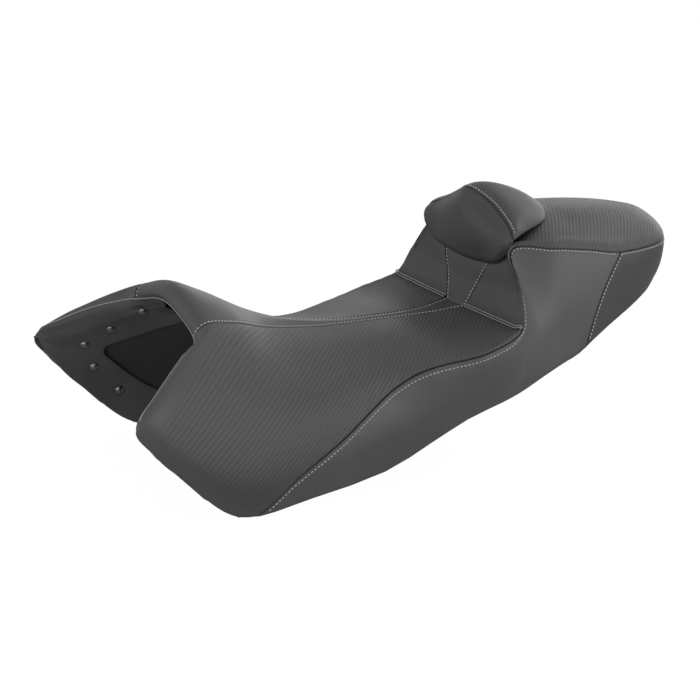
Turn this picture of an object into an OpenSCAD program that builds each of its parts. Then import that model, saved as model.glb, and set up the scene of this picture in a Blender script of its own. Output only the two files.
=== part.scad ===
// Two-up motorcycle seat: a moulded base pan, two foam cushions, a sewn cover of ten panels
// and a lumbar rest on two posts that lifts out of the seat.
// +X points to the front of the motorcycle, +Y to the rider's left, +Z up.
// The origin lies in the middle of the lower face of the rest block under the rider.

/* [Cover] */
// Thickness of the sewn cover
cover_t = 2; // [1:0.25:3]
// Air left between the cover and the foam
cover_gap = 1.5; // [0.5:0.25:2]
// Share of a rib interval left open at a seam, on each side
seam_open = 0.012; // [0.005:0.001:0.03]
// Radius of the welt in the step seam
welt_r = 1.6; // [1:0.1:1.8]
// Distance from staple to staple along the hem, as a share of a rib interval
staple_step = 0.4; // [0.25:0.05:0.8]

/* [Base pan] */
// Wall of the moulded pan
pan_t = 3; // [2:0.5:4]
// Air left between the pan and the foam
pan_gap = 0.6; // [0.3:0.1:1]
// Thickness of the liner inside each wing
liner_t = 5; // [3:0.5:6]
// Radius of a rivet's domed head
rivet_r = 6; // [4:0.5:7]
// Height of a rivet's domed head
rivet_h = 3; // [2:0.5:4]

/* [Supports] */
// Height of the rest block and of the bumpers
rest_h = 14; // [14:1:14]
// Radius of a bumper
bumper_r = 14; // [10:1:16]
// Radius of the front locating pin
pin_r = 6; // [4:0.5:8]
// Free length of the pin on each side of its bracket
pin_free = 26; // [15:1:30]
// Distance between the bracket's ears
ear_gap = 76; // [60:2:90]
// Thickness of the bracket's sheet steel
sheet_t = 4; // [3:0.5:5]
// Radius of the latch striker's rod
striker_r = 4; // [3:0.5:5]
// Width inside the striker's loop
striker_w = 26; // [20:1:34]

/* [Lumbar rest] */
// Radius of a post
post_r = 7; // [5:0.5:8]
// Distance between the two posts
post_gap = 64; // [56:2:70]
// Play of a post in its receiver, on the radius
post_play = 0.06; // [0.03:0.01:0.1]
// Wall of a receiver tube
receiver_wall = 2.5; // [2:0.5:3]

/* [Hidden] */
$fn = 48;

vinyl = [0.17, 0.17, 0.175];
ribbed_vinyl = [0.25, 0.25, 0.255];
light_vinyl = [0.33, 0.33, 0.335];
foam_tone = [0.80, 0.74, 0.52];
pan_tone = [0.09, 0.09, 0.095];
liner_tone = [0.20, 0.20, 0.205];
steel = [0.62, 0.63, 0.65];
black_steel = [0.14, 0.14, 0.15];
rubber = [0.06, 0.06, 0.06];

// Ribs of the cover's left half, from the front edge to the middle of the tail.
// Points of a rib run from the centre line over the strip seam, the middle of the panel, the crest
// of the edge, the side seam and the belly of the side to the hem.
SKIN = [
    // inner return of the front edge
    [[239, 0, 82], [238, 80, 62], [261, 103, 48], [284, 123, 34],
     [307, 142, 18], [325, 156, 8], [333, 161, -6]],
    // lip of the front edge
    [[249, 0, 92], [247, 88, 70], [270, 111, 55], [293, 130, 40],
     [316, 149, 24], [334, 163, 13], [343, 169, -1]],
    // top of the front roll
    [[237, 0, 107], [235, 90, 84], [258, 117, 68], [282, 138, 50],
     [306, 157, 30], [324, 170, 8], [333, 172, -14]],
    // wing
    [[195, 0, 93], [192, 70, 81], [216, 112, 60], [240, 140, 32],
     [263, 160, 0], [282, 171, -32], [293, 168, -51]],
    // lower corner of the wing
    [[140, 0, 70], [138, 34, 64], [150, 90, 44], [168, 130, 16],
     [186, 154, -22], [202, 166, -70], [213, 158, -114]],
    [[90, 0, 58], [88, 15, 55], [92, 72, 42], [98, 120, 20],
     [106, 142, -10], [112, 153, -62], [116, 146, -108]],
    // waist
    [[30, 0, 53], [30, 10, 52], [28, 65, 44], [24, 115, 30], [20, 132, 15], [18, 144, -36], [17, 134, -92]],
    [[-40, 0, 56], [-40, 10, 55], [-40, 70, 53], [-40, 125, 43],
     [-42, 143, 30], [-44, 143, -18], [-46, 128, -66]],
    [[-100, 0, 61], [-100, 13, 60], [-100, 75, 58], [-98, 135, 54],
     [-96, 153, 47], [-98, 146, 4], [-100, 124, -42]],
    // step
    [[-148, 0, 68], [-148, 22, 69], [-147, 80, 70], [-146, 128, 71],
     [-146, 144, 70], [-146, 142, 19], [-148, 122, -26]],
    // riser
    [[-153, 0, 99], [-153, 34, 100], [-153, 75, 104], [-154, 112, 107],
     [-155, 126, 106], [-168, 135, 44], [-178, 120, -14]],
    // top of the riser
    [[-160, 0, 139], [-160, 50, 139], [-159, 70, 146], [-158, 81, 152],
     [-158, 88, 152], [-190, 122, 69], [-210, 118, 3]],
    // pillion cushion
    [[-205, 0, 187], [-205, 35, 185], [-206, 65, 179], [-208, 88, 171],
     [-210, 103, 159], [-220, 116, 89], [-240, 115, 17]],
    [[-265, 0, 194], [-265, 35, 192], [-265, 65, 184], [-264, 90, 173],
     [-262, 106, 157], [-260, 114, 99], [-265, 112, 27]],
    // corner of the tail
    [[-330, 0, 196], [-329, 35, 194], [-327, 65, 186], [-323, 90, 171],
     [-318, 105, 153], [-308, 108, 106], [-298, 107, 49]],
    [[-382, 0, 195], [-384, 28, 193], [-389, 50, 187], [-398, 70, 177],
     [-404, 80, 161], [-404, 80, 127], [-394, 78, 98]],
    // middle of the tail
    [[-406, 0, 193], [-416, 0, 191], [-428, 0, 186], [-439, 0, 177],
     [-447, 0, 164], [-449, 0, 136], [-442, 0, 110]]
];

// Ribs of the pan's upper face, matched to the ribs of the cover.
PAN = [
    [[236, 0, 85], [235, 81, 64], [258, 105, 49], [280, 125, 35],
     [304, 144, 19], [322, 158, 9], [330, 163, -6]],
    [[231, 0, 85], [230, 81, 64], [253, 106, 49], [275, 126, 34],
     [299, 145, 18], [317, 159, 6], [326, 165, -10]],
    [[222, 0, 83], [221, 80, 63], [243, 105, 48], [265, 126, 31],
     [288, 145, 12], [306, 160, -5], [318, 165, -22]],
    [[192, 0, 66], [190, 66, 56], [210, 98, 42], [232, 124, 18],
     [254, 144, -8], [273, 156, -36], [288, 160, -54]],
    [[140, 0, 36], [138, 36, 34], [148, 80, 22], [163, 114, -2],
     [181, 140, -34], [197, 152, -74], [208, 152, -112]],
    // flat floor under the rider
    [[90, 0, 19], [88, 30, 19], [92, 62, 16], [97, 100, -1],
     [104, 127, -24], [110, 140, -66], [114, 140, -107]],
    [[30, 0, 17], [30, 30, 17], [28, 62, 17], [25, 96, 10], [21, 118, -10], [18, 131, -48], [17, 129, -90]],
    [[-40, 0, 17], [-40, 30, 17], [-40, 64, 17], [-40, 100, 13],
     [-42, 121, 0], [-44, 130, -32], [-46, 123, -65]],
    [[-100, 0, 17], [-100, 30, 17], [-100, 64, 17], [-99, 102, 15],
     [-98, 122, 8], [-99, 130, -14], [-100, 119, -41]],
    // wall behind the rider
    [[-150, 0, 19], [-150, 30, 19], [-150, 64, 19], [-150, 100, 18],
     [-149, 119, 13], [-148, 126, -2], [-148, 117, -25]],
    [[-165, 0, 40], [-165, 30, 40], [-165, 62, 40], [-166, 94, 39],
     [-170, 111, 33], [-174, 119, 12], [-178, 115, -12]],
    [[-171, 0, 86], [-171, 28, 86], [-171, 56, 85], [-173, 80, 81],
     [-182, 98, 66], [-198, 112, 30], [-210, 113, 4]],
    // flat floor under the pillion
    [[-188, 0, 106], [-188, 28, 106], [-188, 54, 105], [-192, 76, 100],
     [-206, 92, 82], [-228, 105, 48], [-240, 110, 17]],
    [[-255, 0, 108], [-255, 28, 108], [-255, 54, 107], [-256, 75, 101],
     [-259, 90, 88], [-263, 101, 58], [-265, 107, 28]],
    [[-325, 0, 108], [-324, 28, 108], [-322, 52, 108], [-318, 72, 104],
     [-312, 87, 94], [-305, 97, 72], [-299, 102, 50]],
    [[-372, 0, 116], [-373, 22, 116], [-375, 40, 115], [-378, 55, 112],
     [-383, 66, 110], [-387, 71, 106], [-388, 74, 101]],
    [[-388, 0, 120], [-396, 0, 120], [-404, 0, 119], [-412, 0, 118],
     [-418, 0, 117], [-422, 0, 116], [-425, 0, 115]]
];

// Sections of the lumbar rest's left half as X and Z, at the sideways distances in REST_Y.
// Each runs from the lower front edge up the front, over the ridge and the hump to the lower back
// edge, and forward again under the rest.
REST_Y = [0, 35, 65, 84, 95];
REST = [
    [[-153, 126], [-153, 128], [-150, 134], [-149, 144], [-150, 156]],
    [[-139, 160], [-141, 158], [-145, 157], [-145, 159], [-146, 163]],
    [[-137, 192], [-140, 184], [-144, 175], [-146, 171], [-147, 169]],
    [[-145, 216], [-147, 203], [-149, 188], [-151, 179], [-151, 175]],
    [[-165, 221], [-166, 211], [-160, 195], [-158, 185], [-155, 177]],
    [[-190, 220], [-190, 210], [-175, 196], [-164, 186], [-158, 178]],
    [[-222, 211], [-219, 203], [-192, 192], [-170, 182], [-161, 176]],
    [[-250, 199], [-241, 195], [-206, 186], [-175, 177], [-163, 173]],
    [[-228, 196], [-224, 193], [-198, 183], [-171, 174], [-160, 170]],
    [[-203, 191], [-203, 189], [-186, 177], [-165, 170], [-157, 168]],
    [[-177, 171], [-177, 171], [-170, 165], [-156, 165], [-154, 166]],
    [[-162, 144], [-161, 146], [-157, 151], [-151, 153], [-152, 160]]
];
RIDGE = 3;
REST_BACK = 7;

STEP = 9;
SEAM = 4;
HEM = 6;
TAIL = 16;
RISER_END = 11.2;
side_start = 4.3;
rider_us = [0, 0.4, 0.8, 1.2, 1.6, 2, 2.5, 3, 3.5, 4, 4.5, 5, 5.5, 6, 6.5, 7, 7.5, 8, 8.5, STEP];
rear_us = [
    STEP, 9.4, 9.8, 10.2, 10.6, 11, 11.4, 11.8, 12.2, 12.6, 13, 13.4, 13.8, 14.2, 14.6, 15, 15.33, 15.66, TAIL
];
foam_us = concat([0.5], [for (u = rider_us) if (u > 0.5) u]);
strip_cuts = 3;
panel_cuts = 7;
side_cuts = 3;

floor_z = rest_h;
pillion_floor_z = 108;
bracket_x = 44;
bracket_l = 52;
pin_x = 106;
pin_z = -4;
ear_y = ear_gap / 2;
shank_r = pin_r - 1;
pin_len = ear_gap + 2 * sheet_t + 2 * pin_free;
post_x = -196;
post_y = post_gap / 2;
post_bottom = 116;
post_top = 196;
receiver_top = 160;
receiver_r = post_r + post_play + receiver_wall;
plate_t = 3;
striker_x = -262;
loop_depth = 20;
screw_head_r = 5;
screw_head_h = 3;
screw_r = 2.5;

function flip(p) = [p[0], -p[1], p[2]];
function unit(p) = p / norm(p);
function mix(a, b, t) = a + (b - a) * t;
function steps(a, b, n) = [for (k = [0 : n]) mix(a, b, k / n)];

// Smooth curve through b and c, with a before them and d after them.
function spline(a, b, c, d, t) =
    0.5 * (2 * b + (c - a) * t + (2 * a - 5 * b + 4 * c - d) * t * t + (3 * b - a - 3 * c + d) * t * t * t);

// Point at u on lengthwise line j. A creased line turns sharply at the step.
function along(table, j, u, creased) =
    let (
        last = len(table) - 1,
        i = min(floor(u), last - 1),
        b = table[i][j],
        c = table[i + 1][j],
        a = i == 0 || (creased && i == STEP) ? 2 * b - c : table[i - 1][j],
        d = i + 1 == last ? flip(table[last - 1][j]) : creased && i + 1 == STEP ? 2 * c - b : table[i + 2][j]
    )
    spline(a, b, c, d, u - i);

// Point at v on a rib, which goes on mirrored past the centre line.
function across(rib, v) =
    let (
        last = len(rib) - 1,
        i = min(floor(v), last - 1),
        b = rib[i],
        c = rib[i + 1],
        a = i == 0 ? flip(rib[1]) : rib[i - 1],
        d = i + 1 == last ? 2 * c - b : rib[i + 2]
    )
    spline(a, b, c, d, v - i);

skin_at = function (u, v) across([for (j = [0 : HEM]) along(SKIN, j, u, j < SEAM)], v);
pan_at = function (u, v) across([for (j = [0 : HEM]) along(PAN, j, u, false)], v);

// Outward normal of a face at u and v, taken between the ribs lo and hi.
function normal_on(face, u, v, lo = 0, hi = TAIL) =
    let (
        h = 0.04,
        du = u > TAIL - 0.001 ? [0, -1, 0] : face(min(u + h, hi), v) - face(max(u - h, lo), v),
        dv = v < 0.001 ? [0, 1, 0] : face(u, min(v + h, HEM)) - face(u, max(v - h, 0)),
        n = cross(dv, du)
    )
    norm(n) < 0.0001 ? [0, 0, 1] : unit(n);

// Points at a grid of places on a face, moved outward by d.
function laid(face, places, d, lo = 0, hi = TAIL) =
    [for (row = places) [for (p = row)
        face(p[0], p[1]) + (d == 0 ? [0, 0, 0] : d * normal_on(face, p[0], p[1], lo, hi))]];

// Seams of the cover, as places across the ribs.
function strip_seam(u) = lookup(u, [[0, 1], [2, 1], [3, 1.1], [5, 1.15], [7, 1], [RISER_END, 1]]);
function side_seam(u) =
    lookup(u, [
        [0, HEM], [4.2, HEM], [4.7, 5.2], [5.3, 4.7], [6.1, 4.15], [7, 3.8],
        [8, 3.9], [9, 4.02], [10, 4.15], [10.7, 4.1], [11.2, 3.95], [12, 4], [TAIL, 4]
    ]);
function tail_seam(v) = 13.95 - 0.26 * (v - SEAM);

// Places across one rib, from the centre line to the edge of the foam.
function foam_vs(u) =
    let (strip = strip_seam(u), side = side_seam(u), last = min(side, 5.75))
    concat(
        steps(0, strip, strip_cuts),
        [for (k = [1 : panel_cuts - 1]) mix(strip, side, k / panel_cuts)],
        steps(last, HEM - 0.1, side_cuts)
    );
function foam_places(us) = [for (u = us) [for (v = foam_vs(u)) [u, v]]];

function flat(lists) = [for (list = lists) each list];
function turned(faces) = [for (f = faces) [f[0], f[2], f[1]]];
function quad(a, b, c, d) = [[a, b, c], [a, c, d]];

// Faces between an outer and an inner grid. index(face, i, j) numbers the points.
// The last cell on the centre line keeps one triangle, as its other one lies in the plane of symmetry.
function wall_faces(index, nu, nv, center, tail) =
    concat(
        flat([for (i = [0 : nu - 1], j = [0 : nv - 1])
            let (
                cell = function (k)
                    quad(index(k, i, j), index(k, i + 1, j), index(k, i + 1, j + 1), index(k, i, j + 1)),
                corner = center && tail && i == nu - 1 && j == 0,
                faces = function (k) corner ? [cell(k)[1]] : cell(k)
            )
            concat(faces(0), turned(faces(1)))]),
        flat([for (j = [0 : nv - 1])
            quad(index(0, 0, j), index(0, 0, j + 1), index(1, 0, j + 1), index(1, 0, j))]),
        tail ? [] : flat([for (j = [0 : nv - 1])
            quad(index(0, nu, j), index(1, nu, j), index(1, nu, j + 1), index(0, nu, j + 1))]),
        flat([for (i = [0 : nu - 1])
            quad(index(0, i, nv), index(0, i + 1, nv), index(1, i + 1, nv), index(1, i, nv))]),
        center ? [] : flat([for (i = [0 : nu - 1])
            quad(index(0, i, 0), index(1, i, 0), index(1, i + 1, 0), index(0, i + 1, 0))])
    );

// Solid between two grids of the left half only.
module half_solid(outer, inner) {
    nu = len(outer) - 1;
    nv = len(outer[0]) - 1;
    area = (nu + 1) * (nv + 1);
    index = function (face, i, j) face * area + i * (nv + 1) + j;
    polyhedron(concat(flat(outer), flat(inner)), wall_faces(index, nu, nv, false, false));
}

// Solid between two grids and their mirror images, sharing the points on the plane of symmetry.
module whole_solid(outer, inner, center, tail) {
    nu = len(outer) - 1;
    nv = len(outer[0]) - 1;
    area = (nu + 1) * (nv + 1);
    left = function (face, i, j) face * area + i * (nv + 1) + j;
    right = function (face, i, j)
        left(face, i, j) + ((center && j == 0) || (tail && i == nu) ? 0 : 2 * area);
    half = concat(flat(outer), flat(inner));
    polyhedron(
        concat(half, [for (p = half) flip(p)]),
        concat(wall_faces(left, nu, nv, center, tail), turned(wall_faces(right, nu, nv, center, tail)))
    );
}

module right_of() {
    mirror([0, 1, 0]) children();
}

module both_sides() {
    children();
    right_of() children();
}

// Stands an upright piece on a point, with its axis along n.
module stand(p, n) {
    translate(p) rotate([0, acos(n[2] / norm(n)), atan2(n[1], n[0])]) children();
}

// Pan-head screw driven upwards, its head's upper face at the origin.
module screw(reach) {
    translate([0, 0, -screw_head_h]) cylinder(r = screw_head_r, h = screw_head_h);
    cylinder(r = screw_r, h = reach);
}

module base_pan() {
    us = concat([0.25], foam_us, [for (k = [1 : len(rear_us) - 1]) rear_us[k]]);
    places = [for (u = us) concat([for (v = foam_vs(u)) [u, v]], [[u, HEM]])];
    color(pan_tone) whole_solid(laid(pan_at, places, 0), laid(pan_at, places, -pan_t), true, true);
}

// Stations of the liner from the crown of the arch round the wing's tip and back along the hem,
// as places on the pan: first its outer edge, then the edge of its cut-out.
LINER = [
    [[0.6, 0.6], [3.2, 0.9]], [[0.6, 1.5], [3.3, 1.8]], [[0.6, 2.5], [3.15, 2.8]], [[0.6, 3.5], [2.95, 3.5]],
    [[0.6, 4.6], [2.85, 3.9]], [[0.7, 5.8], [2.9, 4.1]], [[1.6, 5.8], [3, 4.25]], [[2.8, 5.8], [3.3, 4.4]],
    [[3.5, 5.8], [3.7, 4.6]], [[4.1, 5.8], [4.2, 4.85]], [[4.6, 5.8], [4.7, 5]]
];
RIVETS = [[2.1, 1.65], [2.35, 3.15], [2.4, 4.3], [3, 4.85], [3.55, 5.2]];
liner_gap = 1.5;
liner_cuts = 4;

function inside_pan(p, depth) = pan_at(p[0], p[1]) - depth * normal_on(pan_at, p[0], p[1]);
function liner_face(depth) =
    [for (k = [0 : 0.5 : len(LINER) - 1])
        let (
            a = LINER[floor(k)],
            b = LINER[ceil(k)],
            outer = mix(a[0], b[0], 0.5),
            cut = mix(a[1], b[1], 0.5)
        )
        [for (t = steps(0, 1, liner_cuts)) inside_pan(mix(outer, cut, t), depth)]];

module wing_liner() {
    color(liner_tone) half_solid(liner_face(pan_t + liner_gap + liner_t), liner_face(pan_t + liner_gap));
}
module left_wing_liner() {
    wing_liner();
}
module right_wing_liner() {
    right_of() wing_liner();
}

// Domed head with the shank that clamps the liner to the pan.
module rivet() {
    dome_r = (rivet_r * rivet_r + rivet_h * rivet_h) / (2 * rivet_h);
    rotate_extrude() intersection() {
        translate([0, rivet_h - dome_r]) circle(dome_r, $fn = 96);
        square([rivet_r, rivet_h]);
    }
    translate([0, 0, -liner_t - pan_t]) cylinder(r = rivet_r / 3, h = liner_t + pan_t + 1);
}
module wing_rivets() {
    depth = pan_t + liner_gap + liner_t + 0.1;
    color(black_steel) both_sides() for (p = RIVETS)
        stand(inside_pan(p, depth), -normal_on(pan_at, p[0], p[1])) rivet();
}

module rider_foam() {
    places = foam_places([for (u = foam_us) min(u, STEP - 0.03)]);
    color(foam_tone) whole_solid(
        laid(skin_at, places, -cover_t - cover_gap, 0, STEP),
        laid(pan_at, places, pan_gap),
        true, false
    );
}

module pillion_foam() {
    places = foam_places([for (u = rear_us) max(u, STEP + 0.03)]);
    bore_r = receiver_r + 0.4;
    color(foam_tone) difference() {
        whole_solid(
            laid(skin_at, places, -cover_t - cover_gap, STEP),
            laid(pan_at, places, pan_gap),
            true, true
        );
        for (side = [-1, 1])
            translate([post_x, side * post_y, pillion_floor_z]) cylinder(r = bore_r, h = 100);
        receiver_plate(0.5, 6);
    }
}

// Places of a cover panel between two seams over the given ribs.
function panel(us, from, to, cuts) = [for (u = us) [for (v = steps(from(u), to(u), cuts)) [u, v]]];

module center_strip() {
    us = concat(rider_us, [for (u = rear_us) if (u > STEP && u < RISER_END) u], [RISER_END]);
    places = panel(us, function (u) 0, function (u) strip_seam(u) - seam_open, strip_cuts);
    color(vinyl) whole_solid(laid(skin_at, places, 0), laid(skin_at, places, -cover_t), true, false);
}

module rider_panel() {
    us = [for (u = rider_us) min(u, STEP - seam_open)];
    places = panel(
        us,
        function (u) strip_seam(u) + seam_open,
        function (u) side_seam(u) - seam_open,
        panel_cuts
    );
    color(ribbed_vinyl) half_solid(laid(skin_at, places, 0), laid(skin_at, places, -cover_t, 0, STEP));
}
module left_rider_panel() {
    rider_panel();
}
module right_rider_panel() {
    right_of() rider_panel();
}

module riser_panel() {
    us = concat([STEP + seam_open], [for (u = rear_us) if (u > STEP && u < RISER_END) u], [RISER_END]);
    places = panel(
        us,
        function (u) strip_seam(u) + seam_open,
        function (u) side_seam(u) - seam_open,
        panel_cuts
    );
    color(vinyl) difference() {
        half_solid(laid(skin_at, places, 0), laid(skin_at, places, -cover_t, STEP));
        side_panel(0.3);
    }
}
module left_riser_panel() {
    riser_panel();
}
module right_riser_panel() {
    right_of() riser_panel();
}

// The side panel narrows to a point on the hem in front and ends at the slanted tail seam.
// With room it is thicker on both faces, to cut its place out of the riser panel.
module side_panel(room = 0) {
    us = concat(
        [side_start],
        [for (u = rider_us) if (u > side_start) u],
        [for (u = rear_us) if (u > STEP && u < 13.8) u]
    );
    last = len(us) - 1;
    slant_from = last - 4;
    places = [for (i = [0 : last])
        [for (v = steps(side_seam(us[i]) + seam_open, HEM, side_cuts))
            let (
                pull = max(0, (i - slant_from) / (last - slant_from)),
                u = mix(us[i], us[slant_from] + (tail_seam(v) - seam_open - us[slant_from]) * pull, pull)
            )
            [u, v]]];
    color(light_vinyl) half_solid(laid(skin_at, places, room), laid(skin_at, places, -cover_t - room));
}
module left_side_panel() {
    side_panel();
}
module right_side_panel() {
    right_of() side_panel();
}

module pillion_top_panel() {
    us = concat([RISER_END + seam_open], [for (u = rear_us) if (u > RISER_END) u]);
    places = panel(us, function (u) 0, function (u) side_seam(u) - seam_open, panel_cuts);
    color(ribbed_vinyl) difference() {
        whole_solid(laid(skin_at, places, 0), laid(skin_at, places, -cover_t), true, true);
        for (side = [-1, 1])
            translate([post_x, side * post_y, pillion_floor_z]) cylinder(r = post_r + 2, h = 100);
    }
}

module tail_panel() {
    cuts = 10;
    places = [for (k = [0 : cuts])
        [for (v = steps(SEAM + seam_open, HEM, 5)) [mix(tail_seam(v) + seam_open, TAIL, k / cuts), v]]];
    color(vinyl) whole_solid(laid(skin_at, places, 0), laid(skin_at, places, -cover_t), false, true);
}

// Welt along the crease between the rider's panel and the riser.
module step_welt() {
    lift = welt_r + 0.6;
    path = [for (v = steps(1.05, 3.9, 12)) skin_at(STEP, v) + [lift, 0, lift]];
    outer = [for (p = path) [for (a = [0 : 60 : 300]) p + welt_r * [cos(a), 0, sin(a)]]];
    last = len(path) - 1;
    color(light_vinyl) polyhedron(
        flat(outer),
        concat(
            flat([for (i = [0 : last - 1], k = [0 : 5])
                let (n = (k + 1) % 6)
                quad(i * 6 + k, i * 6 + n, (i + 1) * 6 + n, (i + 1) * 6 + k)]),
            [[5, 4, 3, 2, 1, 0], [for (k = [0 : 5]) last * 6 + k]]
        )
    );
}
module left_step_welt() {
    step_welt();
}
module right_step_welt() {
    right_of() step_welt();
}

// Section of the turned margin at a rib: from the cover's edge under the pan's rim and up its inner wall.
// out moves it away from the pan by the given thickness.
hem_gap = 0.6;
rim_gap = 1;
function hem_top(u) = lookup(u, [[2, 5.86], [4.7, 5.86], [5.4, 5.7], [13.5, 5.6], [15, 4.5], [TAIL, 4]]);
function hem_section(u, out) =
    let (
        down = unit(skin_at(u, HEM) - skin_at(u, HEM - 0.1)),
        inward = -normal_on(pan_at, u, HEM)
    )
    [
        inside_pan([u, hem_top(u)], pan_t + hem_gap + out),
        inside_pan([u, HEM], pan_t + hem_gap) + out * inward + (rim_gap + out) * down,
        skin_at(u, HEM) + (rim_gap + out) * down
    ];

module cover_hem() {
    us = concat(
        [for (u = rider_us) if (u >= 2 && u < side_start) u],
        [side_start],
        [for (u = rider_us) if (u > side_start) u],
        [for (k = [1 : len(rear_us) - 1]) rear_us[k]]
    );
    face = function (out) [for (u = us) hem_section(u, out)];
    color(vinyl) whole_solid(face(0), face(cover_t), false, true);
}

// Wire staples in the turned margin behind the liners, lying along the pan's inner wall.
module hem_staples() {
    wire = 1;
    crown = 10;
    at = function (u) let (section = hem_section(u, cover_t + 0.8 + wire / 2)) mix(section[0], section[1], 0.5);
    color(steel) both_sides() for (u = [5.2 : staple_step : TAIL - 0.3]) {
        d = at(u + 0.05) - at(u - 0.05);
        translate(at(u)) rotate([0, -asin(d[2] / norm(d)), atan2(d[1], d[0])])
            cube([crown, wire, wire], center = true);
    }
}

// Hole through a rubber support, wide at the bottom for the screw's head.
recess = 7;
rest_screw_x = 18;
pad_reach = rest_h - recess + pan_t - 0.5;
module screw_hole() {
    translate([0, 0, -1]) cylinder(r = screw_head_r + 1, h = recess + 1);
    cylinder(r = screw_r + 0.1, h = rest_h);
}

// Rubber block on the centre line that sits on the motorcycle's cross member.
module center_rest() {
    length = 60;
    width = 40;
    corner = 6;
    color(rubber) difference() {
        linear_extrude(rest_h - 0.5)
            translate([-length / 2 + corner, -width / 2 + corner])
            offset(corner) square([length - 2 * corner, width - 2 * corner]);
        for (side = [-1, 1]) translate([side * rest_screw_x, 0, 0]) screw_hole();
    }
}
module rest_screws() {
    color(steel) for (side = [-1, 1]) translate([side * rest_screw_x, 0, recess]) screw(pad_reach);
}

// Round rubber bumper, recessed for its screw, its lower face at the origin.
module bumper() {
    difference() {
        cylinder(r1 = bumper_r - 2, r2 = bumper_r, h = rest_h - 0.8);
        screw_hole();
    }
}
module mirrored_at(z, places) {
    for (p = places) both_sides() translate([p[0], p[1], z]) children();
}
FLOOR_BUMPERS = [[8, 52], [-112, 52]];
REAR_BUMPERS = [[-316, 38]];
rear_bumper_z = pillion_floor_z - pan_t - rest_h;
module floor_bumpers() {
    color(rubber) mirrored_at(0, FLOOR_BUMPERS) bumper();
}
module rear_bumpers() {
    color(rubber) mirrored_at(rear_bumper_z, REAR_BUMPERS) bumper();
}
module bumper_screws() {
    color(steel) {
        mirrored_at(recess, FLOOR_BUMPERS) screw(pad_reach);
        mirrored_at(rear_bumper_z + recess, REAR_BUMPERS) screw(pad_reach);
    }
}

// Sheet steel bracket with two ears that carry the front pin under the pan.
module front_bracket() {
    ear_r = 13;
    plate_top = floor_z - 0.5;
    color(black_steel) difference() {
        union() {
            translate([bracket_x, -ear_y - sheet_t, plate_top - sheet_t])
                cube([bracket_l, ear_gap + 2 * sheet_t, sheet_t]);
            for (side = [-1, 1])
                translate([0, side * (ear_y + sheet_t / 2), 0]) rotate([90, 0, 0])
                    linear_extrude(sheet_t, center = true) hull() {
                        translate([pin_x, pin_z]) circle(ear_r);
                        translate([bracket_x, plate_top - sheet_t]) square([bracket_l, sheet_t]);
                    }
        }
        translate([pin_x, 0, pin_z]) rotate([90, 0, 0])
            cylinder(r = shank_r + 0.05, h = pin_len, center = true);
        mirrored_at(0, BRACKET_SCREWS) cylinder(r = screw_r + 0.1, h = floor_z);
    }
}
// Rod through the bracket's ears with a thicker free end on each side.
module front_pin() {
    shoulder = ear_y + sheet_t + 0.2;
    color(steel) translate([pin_x, 0, pin_z]) rotate([90, 0, 0]) {
        cylinder(r = shank_r, h = 2 * shoulder + 2, center = true);
        for (side = [-1, 1])
            translate([0, 0, side * (shoulder + pin_free / 2)])
                cylinder(r = pin_r, h = pin_free, center = true);
    }
}
BRACKET_SCREWS = [[bracket_x + 10, 26], [bracket_x + bracket_l - 12, 26]];
module bracket_screws() {
    color(steel) mirrored_at(floor_z - 0.5 - sheet_t, BRACKET_SCREWS) screw(sheet_t + pan_t);
}

// Plate under the pillion's floor with the loop that the seat lock closes on.
striker_top = pillion_floor_z - pan_t - 0.8;
module striker_plate() {
    color(black_steel) difference() {
        translate([striker_x - 22, -40, striker_top - plate_t]) cube([44, 80, plate_t]);
        mirrored_at(striker_top - plate_t - 1, STRIKER_SCREWS) cylinder(r = screw_r + 0.1, h = plate_t + 2);
    }
}
module latch_striker() {
    bend_r = 8;
    half = striker_w / 2 + striker_r;
    leg_top = striker_top - plate_t;
    bottom = leg_top - loop_depth - striker_r;
    color(steel) {
        for (side = [-1, 1]) {
            translate([striker_x, side * half, bottom + bend_r])
                cylinder(r = striker_r, h = leg_top - bottom - bend_r);
            translate([striker_x, side * (half - bend_r), bottom + bend_r])
                rotate([0, 90, 0]) rotate([0, 0, side > 0 ? 0 : 270])
                rotate_extrude(angle = 90) translate([bend_r, 0]) circle(striker_r);
        }
        translate([striker_x, 0, bottom]) rotate([90, 0, 0])
            cylinder(r = striker_r, h = 2 * (half - bend_r), center = true);
    }
}
STRIKER_SCREWS = [[striker_x - 14, 32], [striker_x + 14, 32]];
module striker_screws() {
    color(steel) mirrored_at(striker_top - plate_t, STRIKER_SCREWS) screw(plate_t + pan_t);
}

// Plate on the pillion's floor with the two tubes that take the posts of the lumbar rest.
module receiver_plate(room = 0, below = 0) {
    translate([post_x - 34 - room, -54 - room, pillion_floor_z + 0.8 - room - below])
        cube([46 + 2 * room, 108 + 2 * room, plate_t + 2 * room + below]);
}
module receiver_frame() {
    foot = pillion_floor_z + 0.8;
    color(black_steel) difference() {
        union() {
            receiver_plate();
            for (side = [-1, 1])
                translate([post_x, side * post_y, foot]) cylinder(r = receiver_r, h = receiver_top - foot);
        }
        for (side = [-1, 1])
            translate([post_x, side * post_y, foot + plate_t])
                cylinder(r = post_r + post_play, h = receiver_top - foot);
        mirrored_at(foot - 1, RECEIVER_SCREWS) cylinder(r = screw_r + 0.1, h = plate_t + 2);
    }
}
RECEIVER_SCREWS = [[post_x - 26, 46], [post_x - 26, 16]];
module receiver_screws() {
    color(steel) mirrored_at(pillion_floor_z - pan_t - 0.5, RECEIVER_SCREWS) screw(pan_t + 1 + plate_t);
}

function rest_row(k) = let (row = REST[k % len(REST)])
    [for (j = [0 : len(REST_Y) - 1]) [row[j][0], REST_Y[j], row[j][1]]];
REST_LAST = len(REST) - 1;

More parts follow.
